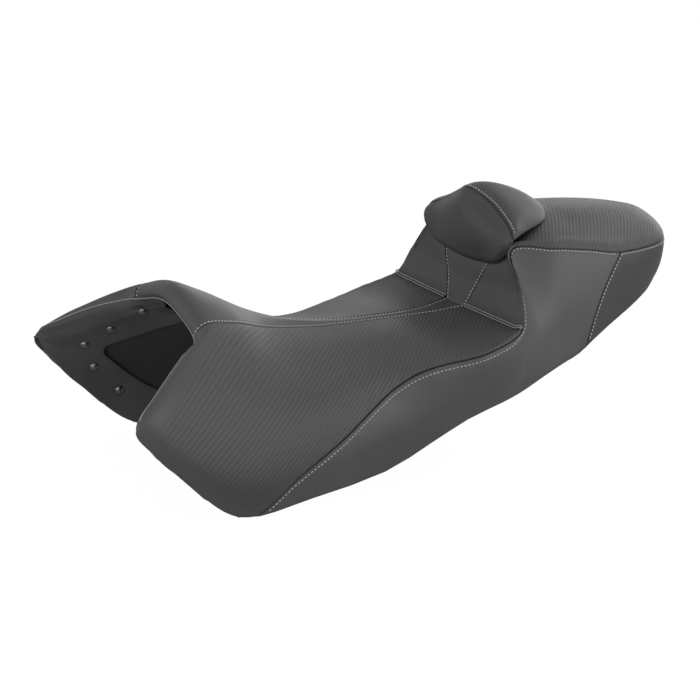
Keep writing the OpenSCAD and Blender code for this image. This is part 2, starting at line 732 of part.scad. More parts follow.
// Point of the lumbar rest at k round its section, t sideways, with sharp edges at the ridge,
// the lower back edge and the lower front edge.
function rest_corner(k) = k == 0 || k == RIDGE || k == REST_BACK || k == REST_LAST + 1;
function rest_at(k, t) =
    let (
        i = min(floor(k), REST_LAST),
        b = rest_row(i),
        c = rest_row(i + 1),
        a = rest_corner(i) ? 2 * b - c : rest_row(i + REST_LAST),
        d = rest_corner(i + 1) ? 2 * c - b : rest_row(i + 2)
    )
    across([for (j = [0 : len(REST_Y) - 1]) spline(a[j], b[j], c[j], d[j], k - i)], t);
rest_ts = [0, 0.5, 1, 1.5, 2, 2.5, 3, 3.5, 3.8];
pad_cover_t = 1.2;
function rest_face(from, to, cuts, share = 1) =
    [for (k = steps(from, to, cuts)) [for (t = rest_ts) rest_at(k, t * share)]];

// Outward normal at a point of a grid whose first line lies on the plane of symmetry.
function grid_normal(g, i, j) =
    let (
        nu = len(g) - 1,
        nv = len(g[0]) - 1,
        du = g[min(i + 1, nu)][j] - g[max(i - 1, 0)][j],
        dv = j == 0 ? [0, 1, 0] : g[i][min(j + 1, nv)] - g[i][j - 1]
    )
    unit(cross(dv, du));
function grown(g, d) =
    [for (i = [0 : len(g) - 1]) [for (j = [0 : len(g[0]) - 1]) g[i][j] + d * grid_normal(g, i, j)]];

module lumbar_front_cover() {
    outer = rest_face(0.05, RIDGE - 0.06, 9);
    color(light_vinyl) whole_solid(outer, grown(outer, -pad_cover_t), true, false);
}
module lumbar_rear_cover() {
    outer = rest_face(RIDGE + 0.06, REST_BACK - 0.05, 9);
    color(vinyl) whole_solid(outer, grown(outer, -pad_cover_t), true, false);
}
module lumbar_board() {
    outer = rest_face(REST_BACK + 0.7, REST_LAST + 0.3, 9, 0.8);
    color(pan_tone) whole_solid(outer, grown(outer, -plate_t), true, false);
}

// The pad's core keeps clear of its covers and of the board, and of the posts' flanges.
module lumbar_foam() {
    shrink = cover_t + cover_gap;
    ks = [for (k = [0.25 : 0.5 : REST_LAST + 0.9]) k];
    ring = [for (k = ks) [for (t = rest_ts) rest_at(k, t * 0.9)]];
    count = len(ks);
    wide = len(rest_ts);
    core = [for (i = [0 : count - 1]) [for (j = [0 : wide - 1])
        let (
            du = ring[(i + 1) % count][j] - ring[(i + count - 1) % count][j],
            dv = j == 0 ? [0, 1, 0] : ring[i][min(j + 1, wide - 1)] - ring[i][j - 1],
            under = ks[i] > REST_BACK
        )
        ring[i][j] - (under ? plate_t + cover_gap : shrink) * unit(cross(dv, du))]];
    left = function (i, j) (i % count) * wide + j;
    right = function (i, j) left(i, j) + (j == 0 ? 0 : count * wide);
    skin = function (index) concat(
        flat([for (i = [0 : count - 1], j = [0 : wide - 2])
            quad(index(i, j), index(i + 1, j), index(i + 1, j + 1), index(i, j + 1))]),
        [for (i = [1 : count - 2]) [index(0, wide - 1), index(i, wide - 1), index(i + 1, wide - 1)]]
    );
    points = flat(core);
    color(foam_tone) difference() {
        polyhedron(concat(points, [for (p = points) flip(p)]), concat(skin(left), turned(skin(right))));
        for (side = [-1, 1])
            translate([post_x, side * post_y, post_bottom])
                cylinder(r = post_r + 5.5, h = post_top - post_bottom + 1);
    }
}

module lumbar_posts() {
    flange_r = post_r + 5;
    color(steel) for (side = [-1, 1])
        translate([post_x, side * post_y, 0]) {
            translate([0, 0, post_bottom]) cylinder(r = post_r, h = post_top - post_bottom);
            translate([0, 0, post_top - plate_t]) cylinder(r = flange_r, h = plate_t);
        }
}

base_pan();
left_wing_liner();
right_wing_liner();
wing_rivets();
rider_foam();
pillion_foam();
center_strip();
left_rider_panel();
right_rider_panel();
left_riser_panel();
right_riser_panel();
left_side_panel();
right_side_panel();
pillion_top_panel();
tail_panel();
left_step_welt();
right_step_welt();
cover_hem();
hem_staples();
center_rest();
rest_screws();
floor_bumpers();
rear_bumpers();
bumper_screws();
front_bracket();
front_pin();
bracket_screws();
striker_plate();
latch_striker();
striker_screws();
receiver_frame();
receiver_screws();
lumbar_front_cover();
lumbar_rear_cover();
lumbar_foam();
lumbar_board();
lumbar_posts();
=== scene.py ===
"""Dresses a two-up motorcycle seat for a studio picture.

The sewn cover is shaped here from the same ribs as the part, in millimetres: dense panels that roll
over into their seams, rows of stitches, welts, a binding, wing liners and the covers of the lumbar
rest. The inner and lower pieces are rounded copies of the part's own nodes.
"""
import copy
import math

import bmesh
import bpy
import numpy as np
from mathutils import Matrix, Vector
from mathutils.bvhtree import BVHTree


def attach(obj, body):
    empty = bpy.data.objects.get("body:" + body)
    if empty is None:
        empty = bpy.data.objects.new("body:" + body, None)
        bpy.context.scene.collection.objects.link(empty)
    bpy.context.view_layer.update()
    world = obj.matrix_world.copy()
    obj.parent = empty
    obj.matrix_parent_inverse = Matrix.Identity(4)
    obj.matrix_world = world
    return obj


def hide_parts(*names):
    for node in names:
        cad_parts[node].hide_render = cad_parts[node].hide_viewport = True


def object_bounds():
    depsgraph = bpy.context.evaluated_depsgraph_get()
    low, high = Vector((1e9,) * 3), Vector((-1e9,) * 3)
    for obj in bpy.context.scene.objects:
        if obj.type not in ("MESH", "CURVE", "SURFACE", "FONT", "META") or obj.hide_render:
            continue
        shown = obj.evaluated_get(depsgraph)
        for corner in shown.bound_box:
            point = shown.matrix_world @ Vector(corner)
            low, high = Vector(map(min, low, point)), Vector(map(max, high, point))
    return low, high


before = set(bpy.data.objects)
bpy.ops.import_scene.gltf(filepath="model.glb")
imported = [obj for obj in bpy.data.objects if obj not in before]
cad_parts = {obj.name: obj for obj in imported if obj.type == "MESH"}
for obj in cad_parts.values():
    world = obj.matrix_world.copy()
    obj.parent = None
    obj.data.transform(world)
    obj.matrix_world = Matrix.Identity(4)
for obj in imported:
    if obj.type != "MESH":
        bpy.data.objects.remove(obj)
cad_low, cad_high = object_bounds()
MM = 0.001
stitch_drift = np.random.default_rng(7)


# Shaders

class Value:
    """A shader socket that adds Math nodes when it is used in an expression."""

    def __init__(self, finish, socket):
        self.finish = finish
        self.socket = socket

    def math(self, operation, *others):
        return self.finish.add("ShaderNodeMath", {"operation": operation}, dict(enumerate((self, *others))))

    def __add__(self, other):
        return self.math("ADD", other)

    __radd__ = __add__

    def __sub__(self, other):
        return self.math("SUBTRACT", other)

    def __rsub__(self, other):
        return self.finish.add("ShaderNodeMath", {"operation": "SUBTRACT"}, {0: other, 1: self})

    def __mul__(self, other):
        return self.math("MULTIPLY", other)

    __rmul__ = __mul__

    def sin(self):
        return self.math("SINE")

    def ramp(self, start, end):
        """Rises smoothly from 0 at start to 1 at end."""
        return self.finish.add(
            "ShaderNodeMapRange", {"interpolation_type": "SMOOTHSTEP"},
            {"Value": self, "From Min": start, "From Max": end})


class Finish:
    """The nodes of a new material, or of a new world."""

    def __init__(self, name, kind=bpy.data.materials):
        self.owner = kind.new(name)
        self.owner.use_nodes = True
        self.tree = self.owner.node_tree

    def add(self, kind, settings=None, sockets=None, output=0):
        """Adds a node with its settings, then its socket values and links, and gives one of its outputs."""
        node = self.tree.nodes.new(kind)
        for key, value in (settings or {}).items():
            setattr(node, key, value)
        for key, value in (sockets or {}).items():
            self.join(value, node.inputs[key])
        return Value(self, node.outputs[output])

    def join(self, value, socket):
        if isinstance(value, Value):
            self.tree.links.new(value.socket, socket)
        else:
            socket.default_value = value

    def place(self):
        return self.add("ShaderNodeTexCoord", output="Object")

    def rays(self):
        """Whether the camera sees the surface, and whether a reflection does."""
        return (self.add("ShaderNodeLightPath", output=ray) for ray in ("Is Camera Ray", "Is Glossy Ray"))

    def mark(self, name):
        """A number kept on the mesh's points, and 0 on a mesh without it."""
        return self.add("ShaderNodeAttribute", {"attribute_name": name}, output="Fac")

    def noise(self, scale, detail=2.0):
        return self.add(
            "ShaderNodeTexNoise", {}, {"Vector": self.place(), "Scale": scale, "Detail": detail})

    def cells(self, scale, feature="F1"):
        return self.add(
            "ShaderNodeTexVoronoi", {"feature": feature}, {"Vector": self.place(), "Scale": scale})

    def blend(self, share, first, second):
        return self.add(
            "ShaderNodeMix", {"data_type": "RGBA"}, {"Factor": share, 6: first, 7: second}, output=2)

    def bump(self, height, distance, strength=1.0, over=None):
        sockets = {"Height": height, "Distance": distance, "Strength": strength}
        if over:
            sockets["Normal"] = over
        return self.add("ShaderNodeBump", {}, sockets)

    def dress(self, **sockets):
        """Fills the surface's sockets, named with underscores for spaces, and gives the material."""
        surface = self.tree.nodes["Principled BSDF"]
        for key, value in sockets.items():
            self.join(value, surface.inputs[key.replace("_", " ")])
        return self.owner


# How dark the painted shade in seams and creases gets, as a share of the colour.
SEAM_SHADE = 0.15
THREADS_ALONG, THREADS_ACROSS = 40, 12.6


def grey(level, warmth=0.0):
    return (level * (1 + warmth), level, level * (1 - warmth), 1)


def vinyl(name, level, roughness, grain=1.0):
    """Smooth coated fabric with a fine leathery grain and faint wear."""
    f = Finish(name)
    wear = f.noise(scale=9).ramp(0.3, 0.75)
    pebbles = f.cells(scale=900, feature="SMOOTH_F1")
    folds = f.bump(f.noise(scale=45, detail=3), distance=0.0012, strength=0.25)
    relief = f.bump(pebbles, distance=0.00018, strength=0.35 * grain, over=folds)
    tone = f.blend(wear, grey(level * 0.93), grey(level * 1.07))
    return f.dress(
        # Painted shade: the colour darkens where the seam mark is high, in seams and creases.
        Base_Color=f.blend(f.mark("seam"), tone, grey(level * SEAM_SHADE)),
        Roughness=0.06 * wear + (roughness + 0.04 * pebbles),
        Specular_IOR_Level=0.45, Normal=relief)


def ribbed_vinyl(name, level, roughness):
    """Vinyl embossed with round diagonal ribs. U counts the ribs and V the cross threads."""
    f = Finish(name)
    weave = f.add("ShaderNodeTexCoord", output="UV")
    u, v = (f.add("ShaderNodeSeparateXYZ", {}, {0: weave}, axis) for axis in (0, 1))
    shown = f.mark("ribs")
    crown = ((u * (2 * math.pi)).sin() * 0.5 + 0.5) * shown
    threads = (v * THREADS_ALONG).sin() * (u * THREADS_ACROSS).sin() * shown
    wear = f.noise(scale=9).ramp(0.3, 0.75)
    cloth = f.bump(threads, distance=0.0001, strength=0.4)
    relief = f.bump(crown, distance=0.0004, strength=0.5, over=cloth)
    tone = f.blend(wear, grey(level * 0.94), grey(level * 1.06))
    # Painted shade: the valleys between the ribs are darker than their crowns.
    ribbed = f.blend((1 - crown) * shown * 0.5, tone, grey(level * 0.5))
    return f.dress(
        # Painted shade: the colour darkens where the seam mark is high, in seams and creases.
        Base_Color=f.blend(f.mark("seam"), ribbed, grey(level * SEAM_SHADE)),
        Roughness=0.06 * wear + roughness - 0.04 * crown,
        Specular_IOR_Level=0.45, Normal=relief)


def moulded(name, level, roughness, texture):
    """Moulded plastic or rubber with a spark-eroded surface."""
    f = Finish(name)
    patches = f.noise(scale=14).ramp(0.3, 0.7)
    sand = f.noise(scale=texture, detail=4)
    return f.dress(
        Base_Color=f.blend(patches, grey(level * 0.85), grey(level * 1.12)),
        Roughness=roughness + 0.1 * patches,
        Specular_IOR_Level=0.4, Normal=f.bump(sand, distance=0.0004, strength=0.35))


def metal(name, level, roughness, warmth=0.0):
    """Plated steel, faintly cloudy and brushed."""
    f = Finish(name)
    clouds = f.noise(scale=60, detail=4).ramp(0.3, 0.7)
    return f.dress(
        Base_Color=f.blend(clouds, grey(level * 0.85, warmth), grey(level, warmth)),
        Metallic=0.9 + 0.1 * clouds, Roughness=roughness + 0.12 * clouds,
        Normal=f.bump(f.noise(scale=900), distance=0.0001, strength=0.2))


def yarn(name, level):
    """Twisted polyester thread."""
    f = Finish(name)
    twist = (f.noise(scale=2500, detail=1) * 6).sin()
    return f.dress(
        Base_Color=f.blend(twist.ramp(-1, 1), grey(level * 0.75, 0.01), grey(level, 0.01)),
        Roughness=0.6 + 0.1 * twist, Normal=f.bump(twist, distance=0.0001, strength=0.5))


def cellular(name, level):
    """Open moulded foam."""
    f = Finish(name)
    pores = f.cells(scale=700)
    return f.dress(
        # Painted shade: the pores are darker than the cell walls.
        Base_Color=f.blend(pores.ramp(0.1, 0.6), grey(level * 0.6, 0.05), grey(level, 0.05)),
        Roughness=0.85 + 0.1 * pores, Normal=f.bump(pores, distance=0.0006, strength=0.8))


COVER = vinyl("Smooth vinyl", level=0.092, roughness=0.40)
SIDE = vinyl("Side vinyl", level=0.12, roughness=0.42)
TAIL_SKIN = vinyl("Tail vinyl", level=0.074, roughness=0.40)
RIBBED = ribbed_vinyl("Ribbed vinyl", level=0.106, roughness=0.45)
PAD_SKIN = vinyl("Pad vinyl", level=0.087, roughness=0.42)
WELT = vinyl("Welt", level=0.4, roughness=0.45, grain=0.4)
# The binding is a real edge piece, but its pale colour is a painted highlight along the wings' front edge
# and the arch.
PALE_BINDING_PAINTED_HIGHLIGHT = vinyl("Binding", level=0.4, roughness=0.5, grain=0.4)
THREAD = yarn("Thread", level=0.85)
FOAM = cellular("Foam", level=0.05)
PAN = moulded("Moulded pan", level=0.042, roughness=0.5, texture=500)
LINER = moulded("Liner", level=0.098, roughness=0.55, texture=350)
RUBBER = moulded("Rubber", level=0.015, roughness=0.7, texture=800)
STEEL = metal("Zinc plate", level=0.6, roughness=0.28, warmth=0.02)
BLACK_STEEL = moulded("Black coat", level=0.02, roughness=0.35, texture=1200)
RIVET = metal("Rivet", level=0.22, roughness=0.25)


# The cover's form

# Ribs of the cover's left half, from the front edge to the middle of the tail.
# Points of a rib run from the centre line over the strip seam, the middle of the panel, the crest
# of the edge, the side seam and the belly of the side to the hem.
SKIN = np.array([
    # inner return of the front edge
    [[239, 0, 82], [238, 80, 62], [261, 103, 48], [284, 123, 34],
     [307, 142, 18], [325, 156, 8], [333, 161, -6]],
    # lip of the front edge
    [[249, 0, 92], [247, 88, 70], [270, 111, 55], [293, 130, 40],
     [316, 149, 24], [334, 163, 13], [343, 169, -1]],
    # top of the front roll
    [[237, 0, 107], [235, 90, 84], [258, 117, 68], [282, 138, 50],
     [306, 157, 30], [324, 170, 8], [333, 172, -14]],
    # wing
    [[195, 0, 93], [192, 70, 81], [216, 112, 60], [240, 140, 32],
     [263, 160, 0], [282, 171, -32], [293, 168, -51]],
    # lower corner of the wing
    [[140, 0, 70], [138, 34, 64], [150, 90, 44], [168, 130, 16],
     [186, 154, -22], [202, 166, -70], [213, 158, -114]],
    [[90, 0, 58], [88, 15, 55], [92, 72, 42], [98, 120, 20],
     [106, 142, -10], [112, 153, -62], [116, 146, -108]],
    # waist
    [[30, 0, 53], [30, 10, 52], [28, 65, 44], [24, 115, 30], [20, 132, 15], [18, 144, -36], [17, 134, -92]],
    [[-40, 0, 56], [-40, 10, 55], [-40, 70, 53], [-40, 125, 43],
     [-42, 143, 30], [-44, 143, -18], [-46, 128, -66]],
    [[-100, 0, 61], [-100, 13, 60], [-100, 75, 58], [-98, 135, 54],
     [-96, 153, 47], [-98, 146, 4], [-100, 124, -42]],
    # step
    [[-148, 0, 68], [-148, 22, 69], [-147, 80, 70], [-146, 128, 71],
     [-146, 144, 70], [-146, 142, 19], [-148, 122, -26]],
    # riser
    [[-153, 0, 99], [-153, 34, 100], [-153, 75, 104], [-154, 112, 107],
     [-155, 126, 106], [-168, 135, 44], [-178, 120, -14]],
    # top of the riser
    [[-160, 0, 139], [-160, 50, 139], [-159, 70, 146], [-158, 81, 152],
     [-158, 88, 152], [-190, 122, 69], [-210, 118, 3]],
    # pillion cushion
    [[-205, 0, 187], [-205, 35, 185], [-206, 65, 179], [-208, 88, 171],
     [-210, 103, 159], [-220, 116, 89], [-240, 115, 17]],
    [[-265, 0, 194], [-265, 35, 192], [-265, 65, 184], [-264, 90, 173],
     [-262, 106, 157], [-260, 114, 99], [-265, 112, 27]],
    # corner of the tail
    [[-330, 0, 196], [-329, 35, 194], [-327, 65, 186], [-323, 90, 171],
     [-318, 105, 153], [-308, 108, 106], [-298, 107, 49]],
    [[-382, 0, 195], [-384, 28, 193], [-389, 50, 187], [-398, 70, 177],
     [-404, 80, 161], [-404, 80, 127], [-394, 78, 98]],
    # middle of the tail
    [[-406, 0, 193], [-416, 0, 191], [-428, 0, 186], [-439, 0, 177],
     [-447, 0, 164], [-449, 0, 136], [-442, 0, 110]],
], float)

# Ribs of the pan's upper face under the wings, matched to the ribs of the cover.
PAN_RIBS = np.array([
    [[236, 0, 85], [235, 81, 64], [258, 105, 49], [280, 125, 35],
     [304, 144, 19], [322, 158, 9], [330, 163, -6]],
    [[231, 0, 85], [230, 81, 64], [253, 106, 49], [275, 126, 34],
     [299, 145, 18], [317, 159, 6], [326, 165, -10]],
    [[222, 0, 83], [221, 80, 63], [243, 105, 48], [265, 126, 31],
     [288, 145, 12], [306, 160, -5], [318, 165, -22]],
    [[192, 0, 66], [190, 66, 56], [210, 98, 42], [232, 124, 18],
     [254, 144, -8], [273, 156, -36], [288, 160, -54]],
    [[140, 0, 36], [138, 36, 34], [148, 80, 22], [163, 114, -2],
     [181, 140, -34], [197, 152, -74], [208, 152, -112]],
    [[90, 0, 19], [88, 30, 19], [92, 62, 16], [97, 100, -1],
     [104, 127, -24], [110, 140, -66], [114, 140, -107]],
    [[30, 0, 17], [30, 30, 17], [28, 62, 17], [25, 96, 10], [21, 118, -10], [18, 131, -48], [17, 129, -90]],
], float)

# Sections of the lumbar rest's left half as X and Z, at the sideways distances in REST_Y. Each runs
# from the lower front edge up the front, over the ridge and the hump to the lower back edge, and
# forward again underneath. The ridge bows back and the rear corners are fuller than on the part's
# own solid.
REST_Y = [0, 35, 65, 84, 95]
REST_XZ = [
    [[-153, 126], [-153, 128], [-150, 134], [-149, 144], [-150, 156]],
    [[-139, 160], [-141, 158], [-145, 157], [-145, 159], [-146, 163]],
    [[-137, 192], [-142, 184], [-147, 175], [-147, 171], [-147, 169]],
    [[-145, 216], [-155, 204], [-157, 189], [-154, 180], [-151, 175]],
    [[-165, 221], [-171, 211], [-168, 195], [-160, 185], [-155, 177]],
    [[-190, 220], [-192, 210], [-184, 197], [-167, 186], [-158, 178]],
    [[-222, 212], [-219, 204], [-203, 193], [-175, 182], [-161, 176]],
    [[-250, 199], [-241, 195], [-220, 186], [-182, 177], [-163, 173]],
    [[-228, 196], [-224, 193], [-210, 182], [-177, 174], [-160, 170]],
    [[-203, 191], [-203, 189], [-186, 177], [-165, 170], [-157, 168]],
    [[-177, 171], [-177, 171], [-170, 165], [-156, 165], [-154, 166]],
    [[-162, 144], [-161, 146], [-157, 151], [-151, 153], [-152, 160]],
]
REST = np.array([[[x, y, z] for (x, z), y in zip(row, REST_Y)] for row in REST_XZ], float)
REST_TIP = np.array([-154.0, 96.0, 167.0])
RIDGE, REST_BACK = 3, 7
REST_PINCH, REST_END = 3.4, 3.99
REST_CORNERS = (0, RIDGE, REST_BACK, len(REST))

# Places on the cover, counted in ribs and in the points of a rib.
STEP, SEAM, HEM, TAIL = 9, 4, 6, 16
RISER_END, SIDE_START, SIDE_BEND, SIDE_END = 11.2, 4.3, 11, 13.95
SIDE_TOP, SIDE_SEWN = 4.2, 4.6
TAIL_SLANT = 0.26
CORNER_U, CORNER_V = 2, 5.33

# Sizes in millimetres.
RIB_PITCH = 4.7
POST_X, POST_Y, POST_HOLE = -196, 32, 9
HEM_TUCK = 2.4
COVER_GAUGE, LINER_GAUGE = 1.6, 3.4
STITCH_PITCH, STITCH_LENGTH, STITCH_RADIUS, STITCH_DRIFT = 4.8, 2.4, 0.6, 0.12
STITCH_ROW, RIDGE_ROW = 3.4, 4.5
WELT_RADIUS, BINDING_RADIUS = 0.75, 0.7

FLIP = np.array([1.0, -1.0, 1.0])


def smooth(x, start, end):
    t = np.clip((x - start) / (end - start), 0, 1)
    return t * t * (3 - 2 * t)


def spline(a, b, c, d, t):
    """Smooth curve through b and c, with a before them and d after them."""
    bend, twist = 2 * a - 5 * b + 4 * c - d, 3 * b - a - 3 * c + d
    return 0.5 * (2 * b + (c - a) * t + bend * t ** 2 + twist * t ** 3)


def across(ribs, v):
    """Points at v on ribs that go on mirrored past the centre line."""
    last = ribs.shape[-2] - 1
    i = np.clip(np.floor(v).astype(int), 0, last - 1)

    def column(j):
        return np.take_along_axis(ribs, np.clip(j, 0, last)[..., None, None], -2)[..., 0, :]

    b, c = column(i), column(i + 1)
    a = np.where((i == 0)[..., None], ribs[..., 1, :] * FLIP, column(i - 1))
    d = np.where((i + 1 == last)[..., None], 2 * c - b, column(i + 2))
    return spline(a, b, c, d, (v - i)[..., None])


def sided(points, side):
    """Points on the left half, moved to the right half where their side is -1."""
    return points * np.stack([np.ones_like(side), side, np.ones_like(side)], -1)


def skin(u, v):
    """Points of the cover. A negative v, or a u past the tail, lies on the right half."""
    u, v = np.broadcast_arrays(np.asarray(u, float), np.asarray(v, float))
    side = np.where((v < 0) ^ (u > TAIL), -1.0, 1.0)
    u, v = np.where(u > TAIL, 2 * TAIL - u, u), np.abs(v)
    i = np.clip(np.floor(u).astype(int), 0, TAIL - 1)
    creased = np.arange(HEM + 1) < SEAM
    b, c = SKIN[i], SKIN[i + 1]
    starts = (i == 0)[..., None] | ((i == STEP)[..., None] & creased)
    ends = (i + 1 == STEP)[..., None] & creased
    a = np.where(starts[..., None], 2 * b - c, SKIN[np.clip(i - 1, 0, TAIL)])
    d = np.where(ends[..., None], 2 * c - b, SKIN[np.clip(i + 2, 0, TAIL)])
    d = np.where((i + 1 == TAIL)[..., None, None], SKIN[TAIL - 1] * FLIP, d)
    return sided(across(spline(a, b, c, d, (u - i)[..., None, None]), v), side)


def pan(u, v):
    """Points of the pan under the left wing."""
    u, v = np.broadcast_arrays(np.asarray(u, float), np.asarray(v, float))
    last = len(PAN_RIBS) - 1
    i = np.clip(np.floor(u).astype(int), 0, last - 1)
    b, c = PAN_RIBS[i], PAN_RIBS[i + 1]
    a = np.where((i == 0)[..., None, None], 2 * b - c, PAN_RIBS[np.clip(i - 1, 0, last)])
    ribs = spline(a, b, c, PAN_RIBS[np.clip(i + 2, 0, last)], (u - i)[..., None, None])
    return across(ribs, np.minimum(v, HEM))


def unit(vectors):
    return vectors / np.maximum(np.linalg.norm(vectors, axis=-1, keepdims=True), 1e-9)


def outward(face, u, v, h):
    """Normals of a face, from its slopes over a small distance."""
    return unit(np.cross(face(u, v + h) - face(u, v - h), face(u + h, v) - face(u - h, v)))


def inside_pan(u, v, depth):
    """Points at a depth inside the pan."""
    return pan(u, v) - depth * outward(pan, u, v, 0.03)


def rest(k, t):
    """Points of the lumbar rest at k round its section and t sideways, drawn together at its two tips."""
    k, t = np.broadcast_arrays(np.asarray(k, float), np.asarray(t, float))
    count = len(REST)
    i = np.clip(np.floor(k).astype(int), 0, count - 1)
    b, c = REST[i], REST[(i + 1) % count]
    a = np.where(np.isin(i, REST_CORNERS)[..., None, None], 2 * b - c, REST[(i - 1) % count])
    d = np.where(np.isin(i + 1, REST_CORNERS)[..., None, None], 2 * c - b, REST[(i + 2) % count])
    p = across(spline(a, b, c, d, (k - i)[..., None, None]), np.abs(t))
    pinch = np.clip((np.abs(t) - REST_PINCH) / (len(REST_Y) - 1 - REST_PINCH), 0, 1)[..., None] ** 2
    return sided(p + (REST_TIP - p) * pinch, np.where(t < 0, -1.0, 1.0))


def curve(points):
    """Smooth function through points that never overshoots them."""
    x, y = np.array(points, float).T
    rise = np.diff(y) / np.diff(x)
    turn = rise[:-1] * rise[1:]
    slope = np.zeros(len(x))
    slope[1:-1] = np.where(turn > 0, 2 * turn / np.where(turn > 0, rise[:-1] + rise[1:], 1), 0)

    def at(t):
        t = np.clip(t, x[0], x[-1])
        i = np.clip(np.searchsorted(x, t, "right") - 1, 0, len(x) - 2)
        h = x[i + 1] - x[i]
        s = (t - x[i]) / h
        return ((1 + 2 * s) * (1 - s) ** 2 * y[i] + s * (1 - s) ** 2 * h * slope[i]
                + s * s * (3 - 2 * s) * y[i + 1] + s * s * (s - 1) * h * slope[i + 1])

    return at


strip_seam = curve([[0, 1], [2, 1], [3, 1.1], [5, 1.15], [7, 1], [RISER_END, 1]])
side_seam = curve([
    [0, HEM], [SIDE_TOP, HEM], [4.7, 5.2], [5.3, 4.7], [6.1, 4.15], [7, 3.8],
    [8, 3.9], [9, 4.02], [10, 4.15], [10.7, 4.1], [11.2, 3.95], [12, 4], [TAIL, 4]])


def tail_seam(v):
    return SIDE_END - TAIL_SLANT * (v - SEAM)


def side_face(u, v):
    """The side, with its rear end pulled to the slanted tail seam."""
    return skin(u + smooth(u, SIDE_BEND, SIDE_END) * (tail_seam(v) - SIDE_END), v)


def tail_face(s, v):
    """The tail, with s running from the left tail seam round to the right one."""
    return skin(tail_seam(v) + 2 * (TAIL - tail_seam(v)) * s, v)


def wing_face(u, v):
    """The cover with the lower front corner of its wing rounded off."""
    reach = HEM - CORNER_V
    x, y = np.clip(CORNER_U - u, 0, 1), np.clip((v - CORNER_V) / reach, 0, 1)
    pull = np.maximum(x, y) / np.maximum(np.hypot(x, y), 1e-9)
    square, round_off = (skin(CORNER_U - x * k, CORNER_V + reach * y * k) for k in (1, pull))
    return skin(u, v) + round_off - square


def above(u, v, height):
    """Points at a height over the cover of a wing."""
    return wing_face(u, v) + np.asarray(height)[..., None] * outward(wing_face, u, v, 0.02)


def lengths(points, axis=0):
    """Distance run along lines of points."""
    step = np.linalg.norm(np.diff(points, axis=axis), axis=-1)
    zero = np.zeros_like(np.take(step, [0], axis))
    return np.concatenate([zero, np.cumsum(step, axis)], axis)


# Distances of a panel's outer grid lines from its edge, where it rolls into a seam.
EDGE = np.array([0, 0.35, 0.8, 1.4, 2.1, 3, 4.1, 5.4, 7, 9])


def stations(length, count):
    """Distances along a line, close together near both of its ends."""
    edge = EDGE * min(1, length / (2.6 * EDGE[-1]))
    middle = np.linspace(edge[-1], length - edge[-1], count + 1)[1:-1]
    return np.concatenate([edge, middle, length - edge[::-1]])


